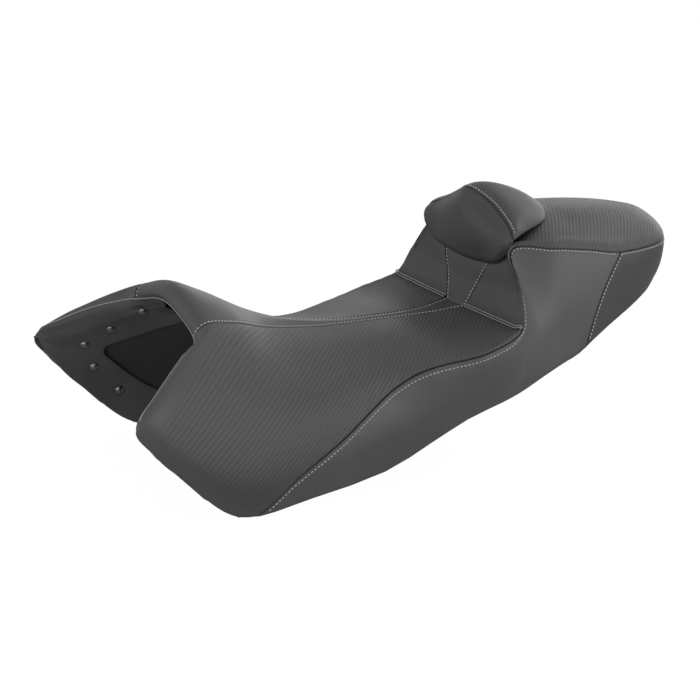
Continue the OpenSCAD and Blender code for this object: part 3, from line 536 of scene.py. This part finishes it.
class Panel:
    """A panel of a cover as a grid, with rows from front to back and columns from right to left."""

    def __init__(self, face, start, end, low, high, step=2.2):
        fine = np.linspace(start, end, 500)
        run = lengths(face(fine, 0.5 * (low(fine) + high(fine))))
        s = np.interp(stations(run[-1], max(3, round(run[-1] / step))), run, fine)
        v = low(s)[:, None] + (high(s) - low(s))[:, None] * np.linspace(0, 1, 120)
        run = lengths(face(s[:, None], v), 1)
        count = max(3, round(run[:, -1].mean() / step))
        v = np.array([np.interp(stations(r[-1], count), r, line) for r, line in zip(run, v)])
        self.s, self.v = np.broadcast_arrays(s[:, None], v)
        self.points = face(self.s, self.v)
        begin = face(s[:, None], low(s)[:, None] * np.linspace(0, 1, 60))
        section = np.array([0, 1, 1])
        offset = lengths(begin * section, 1)[:, -1] * np.sign(low(s))
        self.girth = offset[:, None] + lengths(self.points * section, 1)
        self.normals = self.facing()
        self.height = np.zeros(self.v.shape)
        # Painted shade along seams and creases, given to the mesh as its seam mark.
        self.seam = np.zeros(self.v.shape)
        self.ribs = np.ones(self.v.shape)
        down, over = lengths(self.points), lengths(self.points, 1)
        self.edges = {"front": down, "back": down[-1] - down, "right": over, "left": over[:, -1:] - over}

    def facing(self):
        return unit(np.cross(np.gradient(self.points, axis=1), np.gradient(self.points, axis=0)))

    def roll(self, edge, depth, radius, share=1.0):
        """Lets the panel curve down into a seam."""
        x = 1 - np.clip(self.edges[edge] / radius, 0, 1)
        self.height = self.height - share * depth * (1 - np.sqrt(1 - x * x))
        return self

    def groove(self, edge, distance, depth, width):
        """Presses a line of stitches into the panel."""
        self.height = self.height - depth * np.exp(-((self.edges[edge] - distance) / width) ** 2)
        return self

    def paint_seam_shade(self, edge, share=1.0, reach=1.3):
        """Paints shade into the panel's colour where it dives into a seam, kept on its points as the seam
        mark. A long reach paints the shade of a crease.
        """
        self.seam = np.maximum(self.seam, share * np.exp(-(self.edges[edge] / reach) ** 2))
        return self

    def pucker(self, edge, depth, reach, pitch):
        """Small gathers that run away from a seam."""
        along = self.edges["front" if edge in ("left", "right") else "right"]
        d = self.edges[edge]
        fade = np.clip(d / 3, 0, 1) * np.exp(-d / reach)
        drift = 1.7 * np.sin(along / 23)
        wave = np.sin(along * 2 * math.pi / pitch + drift) + 0.6 * np.sin(along / pitch * 3.9)
        self.height = self.height + depth * fade * wave
        return self

    def settle(self):
        self.points = self.points + self.normals * self.height[..., None]
        self.normals = self.facing()
        return self

    def mirrored(self):
        """The same panel on the other side."""
        other = copy.copy(self)
        other.points = (self.points * FLIP)[:, ::-1]
        other.normals = (self.normals * FLIP)[:, ::-1]
        other.girth = -self.girth[:, ::-1]
        other.seam, other.ribs = self.seam[:, ::-1], self.ribs[:, ::-1]
        turn = {"front": "front", "back": "back", "left": "right", "right": "left"}
        other.edges = {edge: self.edges[turn[edge]][:, ::-1] for edge in turn}
        return other

    def weave(self, angle):
        """Texture places: first counted in ribs across them, then along them."""
        c, s = math.cos(math.radians(angle)), math.sin(math.radians(angle))
        x = self.points[..., 0]
        return np.stack([x * c - self.girth * s, x * s + self.girth * c], -1) / RIB_PITCH

    def line(self, edge, distance, start=0.0, end=1.0):
        """Points and normals of the line at a distance from an edge, or at one for each row, between two
        shares of its length."""
        grids = [self.edges[edge][..., None], self.points, self.normals]
        if edge in ("front", "back"):
            grids = [g.swapaxes(0, 1) for g in grids]
        if edge in ("left", "back"):
            grids = [g[:, ::-1] for g in grids]
        d, p, n = grids
        distances = np.broadcast_to(np.ravel(distance), len(d))
        first, last = round(start * (len(d) - 1)), round(end * (len(d) - 1)) + 1

        def at(row, values):
            reach = min(distances[row], 0.5 * d[row, -1, 0])
            return [np.interp(reach, d[row, :, 0], values[row, :, k]) for k in range(3)]

        rows = range(first, last)
        return np.array([at(r, p) for r in rows]), unit(np.array([at(r, n) for r in rows]))


def mesh_object(name, verts, faces, material, uv=None, marks=None):
    """Object from points in millimetres and faces as lists of their numbers, with marks on its points."""
    mesh = bpy.data.meshes.new(name)
    mesh.from_pydata((np.asarray(verts) * MM).tolist(), [], faces)
    if uv is not None:
        corners = np.empty(len(mesh.loops), int)
        mesh.loops.foreach_get("vertex_index", corners)
        mesh.uv_layers.new(name="UVMap").data.foreach_set("uv", uv[corners].ravel().astype(np.float32))
    for mark, values in (marks or {}).items():
        layer = mesh.attributes.new(mark, "FLOAT", "POINT")
        layer.data.foreach_set("value", values.ravel().astype(np.float32))
    mesh.materials.append(material)
    piece = bpy.data.objects.new(name, mesh)
    bpy.context.scene.collection.objects.link(piece)
    return piece


def pick(*pieces):
    bpy.ops.object.select_all(action="DESELECT")
    for piece in pieces:
        piece.select_set(True)
    bpy.context.view_layer.objects.active = pieces[-1]


def merge(piece, distance=1e-6):
    work = bmesh.new()
    work.from_mesh(piece.data)
    bmesh.ops.remove_doubles(work, verts=work.verts, dist=distance)
    bmesh.ops.dissolve_degenerate(work, edges=work.edges, dist=distance)
    work.to_mesh(piece.data)
    work.free()


def soften(piece, degrees):
    pick(piece)
    bpy.ops.object.shade_smooth_by_angle(angle=math.radians(degrees))


def apply(piece, kind, **settings):
    """Adds a modifier and applies it at once."""
    pick(piece)
    modifier = piece.modifiers.new(kind, kind)
    for key, value in settings.items():
        setattr(modifier, key, value)
    bpy.ops.object.modifier_apply(modifier=modifier.name)


def shell(name, panel, material, thickness=COVER_GAUGE, weave=None, zipped=False):
    """Closed sheet: the panel, the same moved inwards, and the rim between them.
    A zipped panel folds onto itself at its back, so it has no rim there."""
    rows, columns = panel.v.shape
    normals = panel.normals.copy()
    if zipped:
        normals[-1, :, 1] = 0
    inner = panel.points - unit(normals) * thickness
    number = np.arange(rows * columns).reshape(rows, columns)
    under = number + rows * columns

    def quads(a, b, c, d):
        return np.stack([a, b, c, d], -1).reshape(-1, 4).tolist()

    faces = quads(number[:-1, :-1], number[:-1, 1:], number[1:, 1:], number[1:, :-1])
    faces += quads(under[:-1, :-1], under[1:, :-1], under[1:, 1:], under[:-1, 1:])
    faces += quads(under[0, :-1], under[0, 1:], number[0, 1:], number[0, :-1])
    if not zipped:
        faces += quads(under[-1, 1:], under[-1, :-1], number[-1, :-1], number[-1, 1:])
    faces += quads(under[1:, 0], under[:-1, 0], number[:-1, 0], number[1:, 0])
    faces += quads(under[:-1, -1], under[1:, -1], number[1:, -1], number[:-1, -1])
    verts = np.concatenate([panel.points.reshape(-1, 3), inner.reshape(-1, 3)])
    uv = None if weave is None else np.tile(panel.weave(weave).reshape(-1, 2), (2, 1))
    # The seam mark holds painted shade; the ribs mark says where the ribs show.
    marks = {"seam": np.tile(panel.seam, (2, 1)), "ribs": np.tile(panel.ribs, (2, 1))}
    piece = mesh_object(name, verts, faces, material, uv, marks)
    merge(piece)
    soften(piece, 50)
    return piece


def swept(rings):
    """Faces of closed tubes, one per first index, from rings of points with capped ends."""
    tubes, count, sides = rings.shape[:3]
    number = np.arange(tubes * count * sides).reshape(tubes, count, sides)
    after = np.roll(number, -1, 2)
    walls = np.stack([number[:, :-1], number[:, 1:], after[:, 1:], after[:, :-1]], -1).reshape(-1, 4)
    return walls.tolist() + number[:, 0].tolist() + number[:, -1, ::-1].tolist()


def ring_points(centres, along, up, radii, sides):
    """Rings of points round centres, square to the line they follow."""
    side = unit(np.cross(along, up))
    up = np.cross(side, along)
    angle = np.linspace(0, 2 * math.pi, sides, endpoint=False)
    spokes = np.cos(angle)[:, None] * side[..., None, :] + np.sin(angle)[:, None] * up[..., None, :]
    return centres[..., None, :] + radii[..., None, None] * spokes


def sample(line, places):
    """Points and normals at distances along a line."""
    run = lengths(line[0])

    def at_places(values):
        return np.stack([np.interp(places, run, values[:, axis]) for axis in range(3)], -1)

    return tuple(at_places(values) for values in line)


def sew(name, lines):
    """Rows of separate stitches that bow out of the panel and dip into it at both ends."""
    share = np.array([-0.5, -0.36, 0, 0.36, 0.5])
    rise = np.array([-0.3, 0.3, 0.5, 0.3, -0.3])
    thick = np.array([0.6, 0.95, 1, 0.95, 0.6]) * STITCH_RADIUS
    found = []
    for line in lines:
        middles = np.arange(STITCH_PITCH, lengths(line[0])[-1] - STITCH_PITCH, STITCH_PITCH)
        middles = middles + stitch_drift.uniform(-STITCH_DRIFT, STITCH_DRIFT, len(middles))
        points, normals = sample(line, middles[:, None] + share * STITCH_LENGTH)
        centres = points + unit(normals) * rise[:, None]
        along = unit(np.gradient(centres, axis=1))
        radii = np.broadcast_to(thick, centres.shape[:2])
        found.append(ring_points(centres, along, unit(normals), radii, sides=6))
    rings = np.concatenate(found)
    piece = mesh_object(name, rings.reshape(-1, 3), swept(rings), THREAD)
    soften(piece, 60)
    return piece


def tube(name, points, normals, radius, material):
    """Round cord along a line, rounded off at both ends."""
    run = lengths(points)
    ends = np.minimum(run, run[-1] - run)
    radii = radius * np.sqrt(1 - np.clip(1 - ends / radius, 0, 0.97) ** 2)
    rings = ring_points(points, unit(np.gradient(points, axis=0)), normals, radii, sides=12)[None]
    piece = mesh_object(name, rings.reshape(-1, 3), swept(rings), material)
    soften(piece, 60)
    return piece


def settle_in(piece, slot, *nodes, body="seat", fill=None):
    """Lets a piece ride with its body in place of CAD nodes. The fill, how full a soft piece is, is not
    used.
    """
    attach(piece, body)
    if nodes:
        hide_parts(*nodes)
    return piece


# Cover panels

# How full each soft piece is for its form, the direction of the ribs in degrees, and the distances
# over which the ribs come up away from an edge.
COVER_FILL, PAD_FILL, FOAM_FILL, HEM_FILL = 0.8, 0.85, 0.9, 0.5
RIDER_WEAVE, PILLION_WEAVE = 41, 31
FRONT_FADE, STRIP_FADE, HEM_FADE = (26, 56), (1, 8), (8, 30)

# Where the side seam's stitches draw closer to the seam, and how far from it they run.
STEP_STRETCH, PILLION_STRETCH = (8.4, 9.4), (11, 11.5)
WAIST_ROW, STEP_ROW, PILLION_ROW = 6.2, 2.2, 2.6
PUNCH_LENGTH, PUNCH_HEIGHT = 100, 180


def level(value):
    return lambda s: np.full(np.shape(s), float(value))


strip = Panel(skin, 0, RISER_END, lambda u: -strip_seam(u), strip_seam)
for edge in ("left", "right"):
    strip.roll(edge, depth=2.2, radius=6).paint_seam_shade(edge)
    strip.groove(edge, STITCH_ROW, depth=0.4, width=1.2)
strip.settle()
settle_in(shell("center_strip_cover", strip, COVER), "vinyl", "center_strip", fill=COVER_FILL)

rider = Panel(wing_face, 0, STEP, strip_seam, side_seam)
seamed = smooth(rider.s, SIDE_TOP, SIDE_SEWN)
rider.roll("right", depth=0.8, radius=4).paint_seam_shade("right")
rider.roll("left", depth=1.8, radius=5, share=seamed).paint_seam_shade("left", share=seamed)
rider.roll("left", depth=1.2, radius=5, share=1 - seamed)
# Along the back, a second and wider band of painted shade darkens the crease of the step.
rider.roll("back", depth=1.2, radius=6).paint_seam_shade("back").paint_seam_shade("back", share=0.4, reach=9)
rider.pucker("left", depth=0.2, reach=14, pitch=21).pucker("back", depth=0.2, reach=18, pitch=26)
rider.ribs = smooth(rider.edges["front"], *FRONT_FADE) * smooth(rider.edges["right"], *STRIP_FADE)
rider.ribs = rider.ribs * (seamed + (1 - seamed) * smooth(rider.edges["left"], *HEM_FADE))
rider.settle()

riser = Panel(skin, STEP, RISER_END, strip_seam, side_seam)
riser.roll("right", depth=0.8, radius=4).paint_seam_shade("right")
riser.roll("left", depth=1.5, radius=4).paint_seam_shade("left")
# Along the front, a second and wider band of painted shade darkens the crease of the step.
riser.roll("front", depth=1.2, radius=6).paint_seam_shade("front").paint_seam_shade("front", share=0.4, reach=9)
riser.pucker("front", depth=0.25, reach=16, pitch=24)
riser.settle()

side = Panel(side_face, SIDE_START, SIDE_END, side_seam, level(HEM))
step_part, pillion_part = (smooth(side.s, *stretch) for stretch in (STEP_STRETCH, PILLION_STRETCH))
side_row = WAIST_ROW + (STEP_ROW - WAIST_ROW) * step_part + (PILLION_ROW - STEP_ROW) * pillion_part
side_row = side_row[:, :1]
side.roll("right", depth=1.6, radius=3).paint_seam_shade("right", share=1 - 0.6 * pillion_part)
side.roll("back", depth=1.4, radius=4).paint_seam_shade("back")
side.roll("left", depth=1.2, radius=5)
side.groove("right", side_row, depth=0.45, width=1.3)
side.pucker("right", depth=0.15, reach=20, pitch=27).pucker("left", depth=0.25, reach=16, pitch=31)
side.settle()

left_half = [rider, riser, side]
right_half = [panel.mirrored() for panel in left_half]
for name, (saddle, back, flank) in (("left", left_half), ("right", right_half)):
    settle_in(shell(f"{name}_rider_cover", saddle, RIBBED, weave=RIDER_WEAVE), "ribbed_vinyl",
              f"{name}_rider_panel", fill=COVER_FILL)
    settle_in(shell(f"{name}_riser_cover", back, COVER), "vinyl", f"{name}_riser_panel", fill=COVER_FILL)
    settle_in(shell(f"{name}_side_cover", flank, SIDE), "vinyl", f"{name}_side_panel", fill=COVER_FILL)

# The pillion's back row lies on the centre line of the tail, where its two halves meet.
pillion = Panel(skin, RISER_END, TAIL, lambda u: -side_seam(u), side_seam)
for edge in ("left", "right"):
    pillion.roll(edge, depth=1.2, radius=4).paint_seam_shade(edge, share=0.5)
    pillion.pucker(edge, depth=0.2, reach=15, pitch=25)
pillion.settle()
pillion.points[-1, :, 1] = 0
pillion_cover = shell("pillion_top_cover", pillion, RIBBED, weave=PILLION_WEAVE, zipped=True)
for y in (-POST_Y, POST_Y):
    bpy.ops.object.select_all(action="DESELECT")
    bpy.ops.mesh.primitive_cylinder_add(
        vertices=48, radius=POST_HOLE * MM, depth=PUNCH_LENGTH * MM,
        location=(POST_X * MM, y * MM, PUNCH_HEIGHT * MM))
    punch = bpy.context.active_object
    apply(pillion_cover, "BOOLEAN", operation="DIFFERENCE", object=punch, solver="EXACT")
    bpy.data.objects.remove(punch)
settle_in(pillion_cover, "ribbed_vinyl", "pillion_top_panel", fill=PAD_FILL)

tail = Panel(tail_face, 0, 1, level(SEAM), level(HEM))
for edge in ("front", "back", "right"):
    tail.roll(edge, depth=1.4, radius=4).paint_seam_shade(edge)
    tail.groove(edge, STITCH_ROW, depth=0.35, width=1.2)
tail.roll("left", depth=1.2, radius=5).pucker("left", depth=0.2, reach=14, pitch=29)
tail.settle()
settle_in(shell("tail_cover", tail, TAIL_SKIN), "vinyl", "tail_panel", fill=COVER_FILL)


# Stitches and welts

# A welt is a pair of cords in the crease of the step, which sinks into the side seam at its outer end.
WELT_START, WELT_SINK, WELT_END = 1.03, 3.5, 3.85
WELT_LIFTS = [2.5, 0, 0.3], [0.3, 0, 2.5]
WELT_COUNT = 90

lines = [strip.line(edge, STITCH_ROW) for edge in ("left", "right")]
lines += [flank.line(edge, side_row, start=0.03, end=0.99)
          for flank, edge in ((side, "right"), (side.mirrored(), "left"))]
lines += [tail.line(edge, STITCH_ROW, start=0.02, end=0.97) for edge in ("front", "back")]
lines += [tail.line("right", STITCH_ROW)]
settle_in(sew("cover_stitches", lines), "welt")

for name, sign in (("left", 1), ("right", -1)):
    places = np.linspace(WELT_START, WELT_END, WELT_COUNT) * sign
    crease = skin(STEP, places)
    up = np.tile(unit(np.array([1.0, 0.0, 1.0])), (WELT_COUNT, 1))
    sunk = 1 - 0.5 * smooth(np.abs(places), WELT_SINK, WELT_END)[:, None]
    cords = [tube(f"{name}_welt_{k}", crease + np.array(lift) * sunk, up, WELT_RADIUS, WELT)
             for k, lift in enumerate(WELT_LIFTS)]
    pick(*cords)
    bpy.ops.object.join()
    cords[-1].name = f"{name}_welt_cords"
    settle_in(cords[-1], "welt", f"{name}_step_welt")


# Lumbar rest

front = Panel(rest, 0, RIDGE, level(-REST_END), level(REST_END))
front.roll("back", depth=1.6, radius=5).paint_seam_shade("back")
# Painted shade along the rest's lower front edge, where it meets the seat.
front.roll("front", depth=1.5, radius=6).paint_seam_shade("front", share=0.7, reach=5)
front.pucker("back", depth=0.2, reach=14, pitch=19)
front.settle()
settle_in(shell("lumbar_front_skin", front, PAD_SKIN), "vinyl", "lumbar_front_cover",
          body="lumbar_rest", fill=PAD_FILL)

rear = Panel(rest, RIDGE, REST_BACK, level(-REST_END), level(REST_END))
rear.roll("front", depth=1.6, radius=3).paint_seam_shade("front").groove("front", RIDGE_ROW, depth=0.4, width=1.3)
rear.roll("back", depth=2.0, radius=7).paint_seam_shade("back")
rear.pucker("front", depth=0.15, reach=16, pitch=23)
rear.settle()
settle_in(shell("lumbar_rear_skin", rear, PAD_SKIN), "vinyl", "lumbar_rear_cover",
          body="lumbar_rest", fill=PAD_FILL)

ridge_line = rear.line("front", RIDGE_ROW, start=0.05, end=0.95)
settle_in(sew("lumbar_stitches", [ridge_line]), "welt", body="lumbar_rest")


# Wing liners

# Stations from the crown of the arch round the wing's tip and back along the hem, as places on the
# pan: first the liner's outer edge, then the edge of its cut-out.
LINER_STATIONS = [
    [[0.3, 0.25], [3.2, 0.9]], [[0.3, 1.5], [3.3, 1.8]], [[0.3, 2.5], [3.15, 2.8]],
    [[0.3, 3.5], [2.95, 3.5]], [[0.3, 4.6], [2.85, 3.9]], [[0.45, 5.75], [2.9, 4.1]],
    [[1.6, 5.92], [3, 4.25]], [[2.8, 5.94], [3.3, 4.4]], [[3.5, 5.94], [3.7, 4.6]],
    [[4.1, 5.94], [4.2, 4.85]], [[4.6, 5.94], [4.7, 5]]]
LINER_DEPTH = 9.5
RIVETS = [[2.1, 1.65], [2.35, 3.15], [2.4, 4.3], [3, 4.85], [3.55, 5.2]]
RIVET_DENT, RIVET_REACH = 1.3, 6

# At its first stations the liner laps over the cover's front edge: places on the cover, and the
# liner's height over it. From the hem's stations on, it reaches down past the pan instead.
LINER_LAP = [
    [0.4, 0.25, 0.5], [0.75, 1.5, 0.6], [1.1, 2.5, 0.6], [1.2, 3.5, 0.6], [1.2, 4.6, 0.4],
    [1.3, 5.3, 0.2], [1.9, 5.8, -1.5]]
LAP_ROOT, LAP_WIDTH, LAP_END = 0.15, 0.15, 0.45
HEM_STATIONS = 5.5, 6.5
LINER_DROP, DROP_END = 3, 0.35

# The binding along the liners' edge, as places on the cover: how far down the wing, then how far in.
BINDING_LINE = [[0, 0.45], [0.6, 0.52], [1.5, 0.87], [2.5, 1.18], [3.5, 1.27], [5.5, 1.25]]
BINDING_DIVE, BINDING_TIP = 4.9, 5.4
BINDING_COUNT = 420


def station_curves(table):
    """Smooth functions of the station's number, one for each column of a table."""
    return [curve(list(enumerate(column))) for column in zip(*table)]


outer_u, outer_v = station_curves([outer for outer, cut in LINER_STATIONS])
cut_u, cut_v = station_curves([cut for outer, cut in LINER_STATIONS])
lap_u, lap_v, lap_out = station_curves(LINER_LAP)


def liner_face(k, t):
    """Points of the left liner at k along its stations and t from its outer edge to its cut-out."""
    k, t = np.broadcast_arrays(k, t)
    u = outer_u(k) + (cut_u(k) - outer_u(k)) * t
    v = outer_v(k) + (cut_v(k) - outer_v(k)) * t
    inner = inside_pan(u, v, LINER_DEPTH)
    wrapped = lap_u(k) + (LAP_ROOT - lap_u(k)) * np.clip(t / LAP_WIDTH, 0, 1)
    lap = above(wrapped, lap_v(k), lap_out(k)) - inner
    drop = LINER_DROP * unit(pan(outer_u(k), HEM) - pan(outer_u(k), HEM - 0.3))
    at_hem = smooth(k, *HEM_STATIONS)
    lapped = (1 - at_hem) * (1 - smooth(t, LAP_WIDTH, LAP_END))
    dropped = at_hem * (1 - smooth(t, 0, DROP_END))
    return inner + lapped[..., None] * lap + dropped[..., None] * drop


liner = Panel(liner_face, 0, len(LINER_STATIONS) - 1, level(0), level(1), step=2.6)
for edge in ("right", "left", "front", "back"):
    liner.roll(edge, depth=1.6, radius=3.5)
for u, v in RIVETS:
    distance = np.linalg.norm(liner.points - inside_pan(u, v, LINER_DEPTH), axis=-1)
    liner.height = liner.height - RIVET_DENT * np.exp(-(distance / RIVET_REACH) ** 2)
liner.settle()
for name, panel in (("left", liner), ("right", liner.mirrored())):
    settle_in(shell(f"{name}_wing_lining", panel, LINER, LINER_GAUGE), "liner", f"{name}_wing_liner")

places = np.linspace(-BINDING_TIP, BINDING_TIP, BINDING_COUNT)
down = np.abs(places)
height = 0.5 - 1.6 * smooth(down, BINDING_DIVE, BINDING_TIP)
bound_edge = sided(above(curve(BINDING_LINE)(down), down, height), np.sign(places))
up = np.tile([0.7, 0, 0.7], (BINDING_COUNT, 1))
# A pale binding: a real cord whose light colour paints the highlight along the front edge.
settle_in(tube("front_edge_binding", bound_edge, up, BINDING_RADIUS, PALE_BINDING_PAINTED_HIGHLIGHT), "welt")


# Inner and lower pieces

# The foams are drawn in under the covers, but by no more than a part of their thickness.
FOAM_SHRINK, PAD_SHRINK = 4, 9
SHRINK_SHARE = 0.35
RAY_START = 0.1
TUCK_CORE, TUCK_REACH = 6, 36

# Angles in degrees.
QUAD_ANGLE, CREASE_ANGLE, BEVEL_ANGLE, FLAT_ANGLE = 60, 40, 35, 1


def copied(node, name, material):
    """A copy of a CAD node's mesh, merged, under another name and finish."""
    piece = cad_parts[node].copy()
    piece.data = piece.data.copy()
    for key in list(piece.keys()):
        del piece[key]
    piece.parent = None
    piece.name = name
    piece.data.materials.clear()
    piece.data.materials.append(material)
    bpy.context.scene.collection.objects.link(piece)
    merge(piece, 1e-5)
    return piece


def draw_in(piece, distance):
    """Moves a surface inwards, but no further than a part of the piece's thickness there."""
    mesh = piece.data
    tree = BVHTree.FromPolygons([v.co for v in mesh.vertices], [p.vertices for p in mesh.polygons])
    moves = []
    for vertex in mesh.vertices:
        start = vertex.co - vertex.normal * RAY_START * MM
        through = tree.ray_cast(start, -vertex.normal)[3]
        moves.append(vertex.normal * min(distance, SHRINK_SHARE * (through or 0)))
    for vertex, move in zip(mesh.vertices, moves):
        vertex.co -= move


def tuck_corners(piece):
    """Moves the wings' lower front corners in, under the rounded corners of the cover."""
    where = np.array([1.0]), np.array([float(HEM)])
    for flip in (np.ones(3), FLIP):
        corner = skin(*where)[0] * flip
        move = wing_face(*where)[0] * flip - corner
        for vertex in piece.data.vertices:
            distance = np.linalg.norm(np.array(vertex.co) / MM - corner)
            near = 1 - smooth(distance, TUCK_CORE, TUCK_REACH)
            vertex.co += Vector(move * near * MM)


def rounded(node, name, material, shrink=0.0):
    """A copy with its triangles joined to quads and subdivided once, keeping its sharp edges."""
    piece = copied(node, name, material)
    pick(piece)
    bpy.ops.object.mode_set(mode="EDIT")
    bpy.ops.mesh.select_all(action="SELECT")
    bpy.ops.mesh.tris_convert_to_quads(
        face_threshold=math.radians(QUAD_ANGLE), shape_threshold=math.radians(QUAD_ANGLE))
    bpy.ops.mesh.select_all(action="DESELECT")
    bpy.ops.mesh.select_mode(type="EDGE")
    bpy.ops.mesh.edges_select_sharp(sharpness=math.radians(CREASE_ANGLE))
    bpy.ops.transform.edge_crease(value=0.9)
    bpy.ops.object.mode_set(mode="OBJECT")
    apply(piece, "SUBSURF", levels=1, render_levels=1)
    if shrink:
        draw_in(piece, shrink * MM)
    soften(piece, 45)
    return piece


def bevelled(node, name, material, width):
    """A copy with its flat faces made whole and its edges rounded off."""
    piece = copied(node, name, material)
    pick(piece)
    bpy.ops.object.mode_set(mode="EDIT")
    bpy.ops.mesh.select_all(action="SELECT")
    bpy.ops.mesh.dissolve_limited(angle_limit=math.radians(FLAT_ANGLE))
    bpy.ops.object.mode_set(mode="OBJECT")
    apply(piece, "BEVEL", width=width * MM, segments=2,
          limit_method="ANGLE", angle_limit=math.radians(BEVEL_ANGLE))
    soften(piece, 40)
    return piece


rider_cushion = rounded("rider_foam", "rider_cushion", FOAM, FOAM_SHRINK)
tuck_corners(rider_cushion)
settle_in(rider_cushion, "foam", "rider_foam", fill=FOAM_FILL)
pillion_cushion = rounded("pillion_foam", "pillion_cushion", FOAM, FOAM_SHRINK)
settle_in(pillion_cushion, "foam", "pillion_foam", fill=FOAM_FILL)
lumbar_cushion = rounded("lumbar_foam", "lumbar_cushion", FOAM, PAD_SHRINK)
settle_in(lumbar_cushion, "foam", "lumbar_foam", body="lumbar_rest", fill=FOAM_FILL)
settle_in(rounded("base_pan", "base_pan_moulding", PAN), "pan", "base_pan")
hem = bevelled("cover_hem", "turned_hem", COVER, 0.6)
hem.data.transform(Matrix.Translation((0, 0, HEM_TUCK * MM)))
tuck_corners(hem)
settle_in(hem, "vinyl", "cover_hem", fill=HEM_FILL)
settle_in(bevelled("lumbar_board", "lumbar_backing", PAN, 0.6), "pan", "lumbar_board", body="lumbar_rest")
for node, material, slot, width in (
        ("center_rest", RUBBER, "rubber", 0.8),
        ("floor_bumpers", RUBBER, "rubber", 0.8),
        ("rear_bumpers", RUBBER, "rubber", 0.8),
        ("front_bracket", BLACK_STEEL, "black_steel", 0.5),
        ("front_pin", STEEL, "steel", 0.6),
        ("striker_plate", BLACK_STEEL, "black_steel", 0.4),
        ("latch_striker", STEEL, "steel", 0.3),
        ("receiver_frame", BLACK_STEEL, "black_steel", 0.4),
        ("rest_screws", STEEL, "steel", 0.4),
        ("bumper_screws", STEEL, "steel", 0.4),
        ("bracket_screws", STEEL, "steel", 0.4),
        ("striker_screws", STEEL, "steel", 0.4),
        ("receiver_screws", STEEL, "steel", 0.4),
        ("hem_staples", STEEL, "steel", 0.25),
        ("wing_rivets", RIVET, "black_steel", 0.3)):
    settle_in(bevelled(node, f"{node}_finish", material, width), slot, node)
posts = bevelled("lumbar_posts", "lumbar_post_rods", STEEL, 0.6)
settle_in(posts, "steel", "lumbar_posts", body="lumbar_rest")


# Camera, light and floor

# The camera as fitted to the photo: its focal length and the picture's width in pixels, its three
# directions, and its place in metres.
FOCAL, PICTURE, SENSOR = 1373.7, 700, 36
CAMERA_RIGHT = Vector((-0.8676, 0.4888, 0.0912))
CAMERA_UP = Vector((-0.0594, -0.2841, 0.9570))
CAMERA_AHEAD = Vector((-0.4937, -0.8249, -0.2755))
CAMERA_PLACE = Vector((0.8273, 1.3824, 0.4757))

SEAT_MIDDLE = (-0.05, 0, 0.05)
SKY, WHITE = (0.32, 0.32, 0.325, 1), (1, 1, 1, 1)
SKY_MIRRORED = 0.3
FLOOR_SIZE, FLOOR_GAP = 60, 0.002
FLOOR_GLOW, FLOOR_SEEN, FLOOR_MIRRORED = 1.22, 0.8, 0.12

camera_data = bpy.data.cameras.new("Photo camera")
camera_data.sensor_width = SENSOR
camera_data.lens = SENSOR * FOCAL / PICTURE
camera_data.clip_end = 100
camera = bpy.data.objects.new("Photo camera", camera_data)
stand = Matrix((CAMERA_RIGHT, CAMERA_UP, -CAMERA_AHEAD)).transposed().to_4x4()
stand.translation = CAMERA_PLACE
camera.matrix_world = stand
bpy.context.scene.collection.objects.link(camera)
bpy.context.scene.camera = camera


def softbox(name, where, size, power):
    """A rectangular lamp that looks at the middle of the seat."""
    data = bpy.data.lights.new(name, "AREA")
    data.shape = "RECTANGLE"
    data.size, data.size_y = size
    data.energy = power
    lamp = bpy.data.objects.new(name, data)
    lamp.location = where
    lamp.rotation_euler = (Vector(SEAT_MIDDLE) - Vector(where)).to_track_quat("-Z", "Y").to_euler()
    bpy.context.scene.collection.objects.link(lamp)


for name, where, size, power in (
        ("Front left", (1.85, 1.25, 0.55), (1.4, 1.0), 9.5),
        ("Rear left", (-1.45, 1.8, 0.45), (1.6, 1.0), 13.5),
        ("Rear", (-2.2, -0.3, 1.1), (1.4, 1.0), 3.6),
        ("Rear high", (-1.7, -0.5, 1.7), (1.4, 1.2), 3.6),
        ("Rear top", (-1.3, 0.4, 1.9), (0.8, 0.8), 2.6),
        ("Front low", (2.2, -0.9, 0.2), (1.4, 0.8), 4.4),
        ("Back wall", (-15.2, -13.7, 2.6), (16, 6), 370)):
    softbox(name, where, size, power)

# The world is grey as a light, white to the camera, and part white in reflections.
studio = Finish("Studio", bpy.data.worlds)
seen, mirrored = studio.rays()
studio.join(studio.blend(seen + mirrored * SKY_MIRRORED, SKY, WHITE),
            studio.tree.nodes["Background"].inputs["Color"])
bpy.context.scene.world = studio.owner

bpy.ops.object.select_all(action="DESELECT")
bpy.ops.mesh.primitive_plane_add(size=FLOOR_SIZE, location=(0, 0, cad_low.z - FLOOR_GAP))
floor = bpy.context.active_object
floor.name = "studio_floor"
paint = Finish("Studio floor")
paper = paint.noise(scale=3).ramp(0.2, 0.8)
paint.dress(Base_Color=paint.blend(paper, grey(0.34), grey(0.38)), Roughness=0.9 - 0.05 * paper)
glow = paint.add("ShaderNodeEmission", {}, {"Color": WHITE, "Strength": FLOOR_GLOW})
seen, mirrored = paint.rays()
matt = Value(paint, paint.tree.nodes["Principled BSDF"].outputs[0])
shown = paint.add("ShaderNodeMixShader", {}, {
    0: seen * FLOOR_SEEN + mirrored * FLOOR_MIRRORED, 1: matt, 2: glow})
paint.join(shown, paint.tree.nodes["Material Output"].inputs["Surface"])
floor.data.materials.append(paint.owner)

bpy.context.scene.view_settings.view_transform = "Standard"
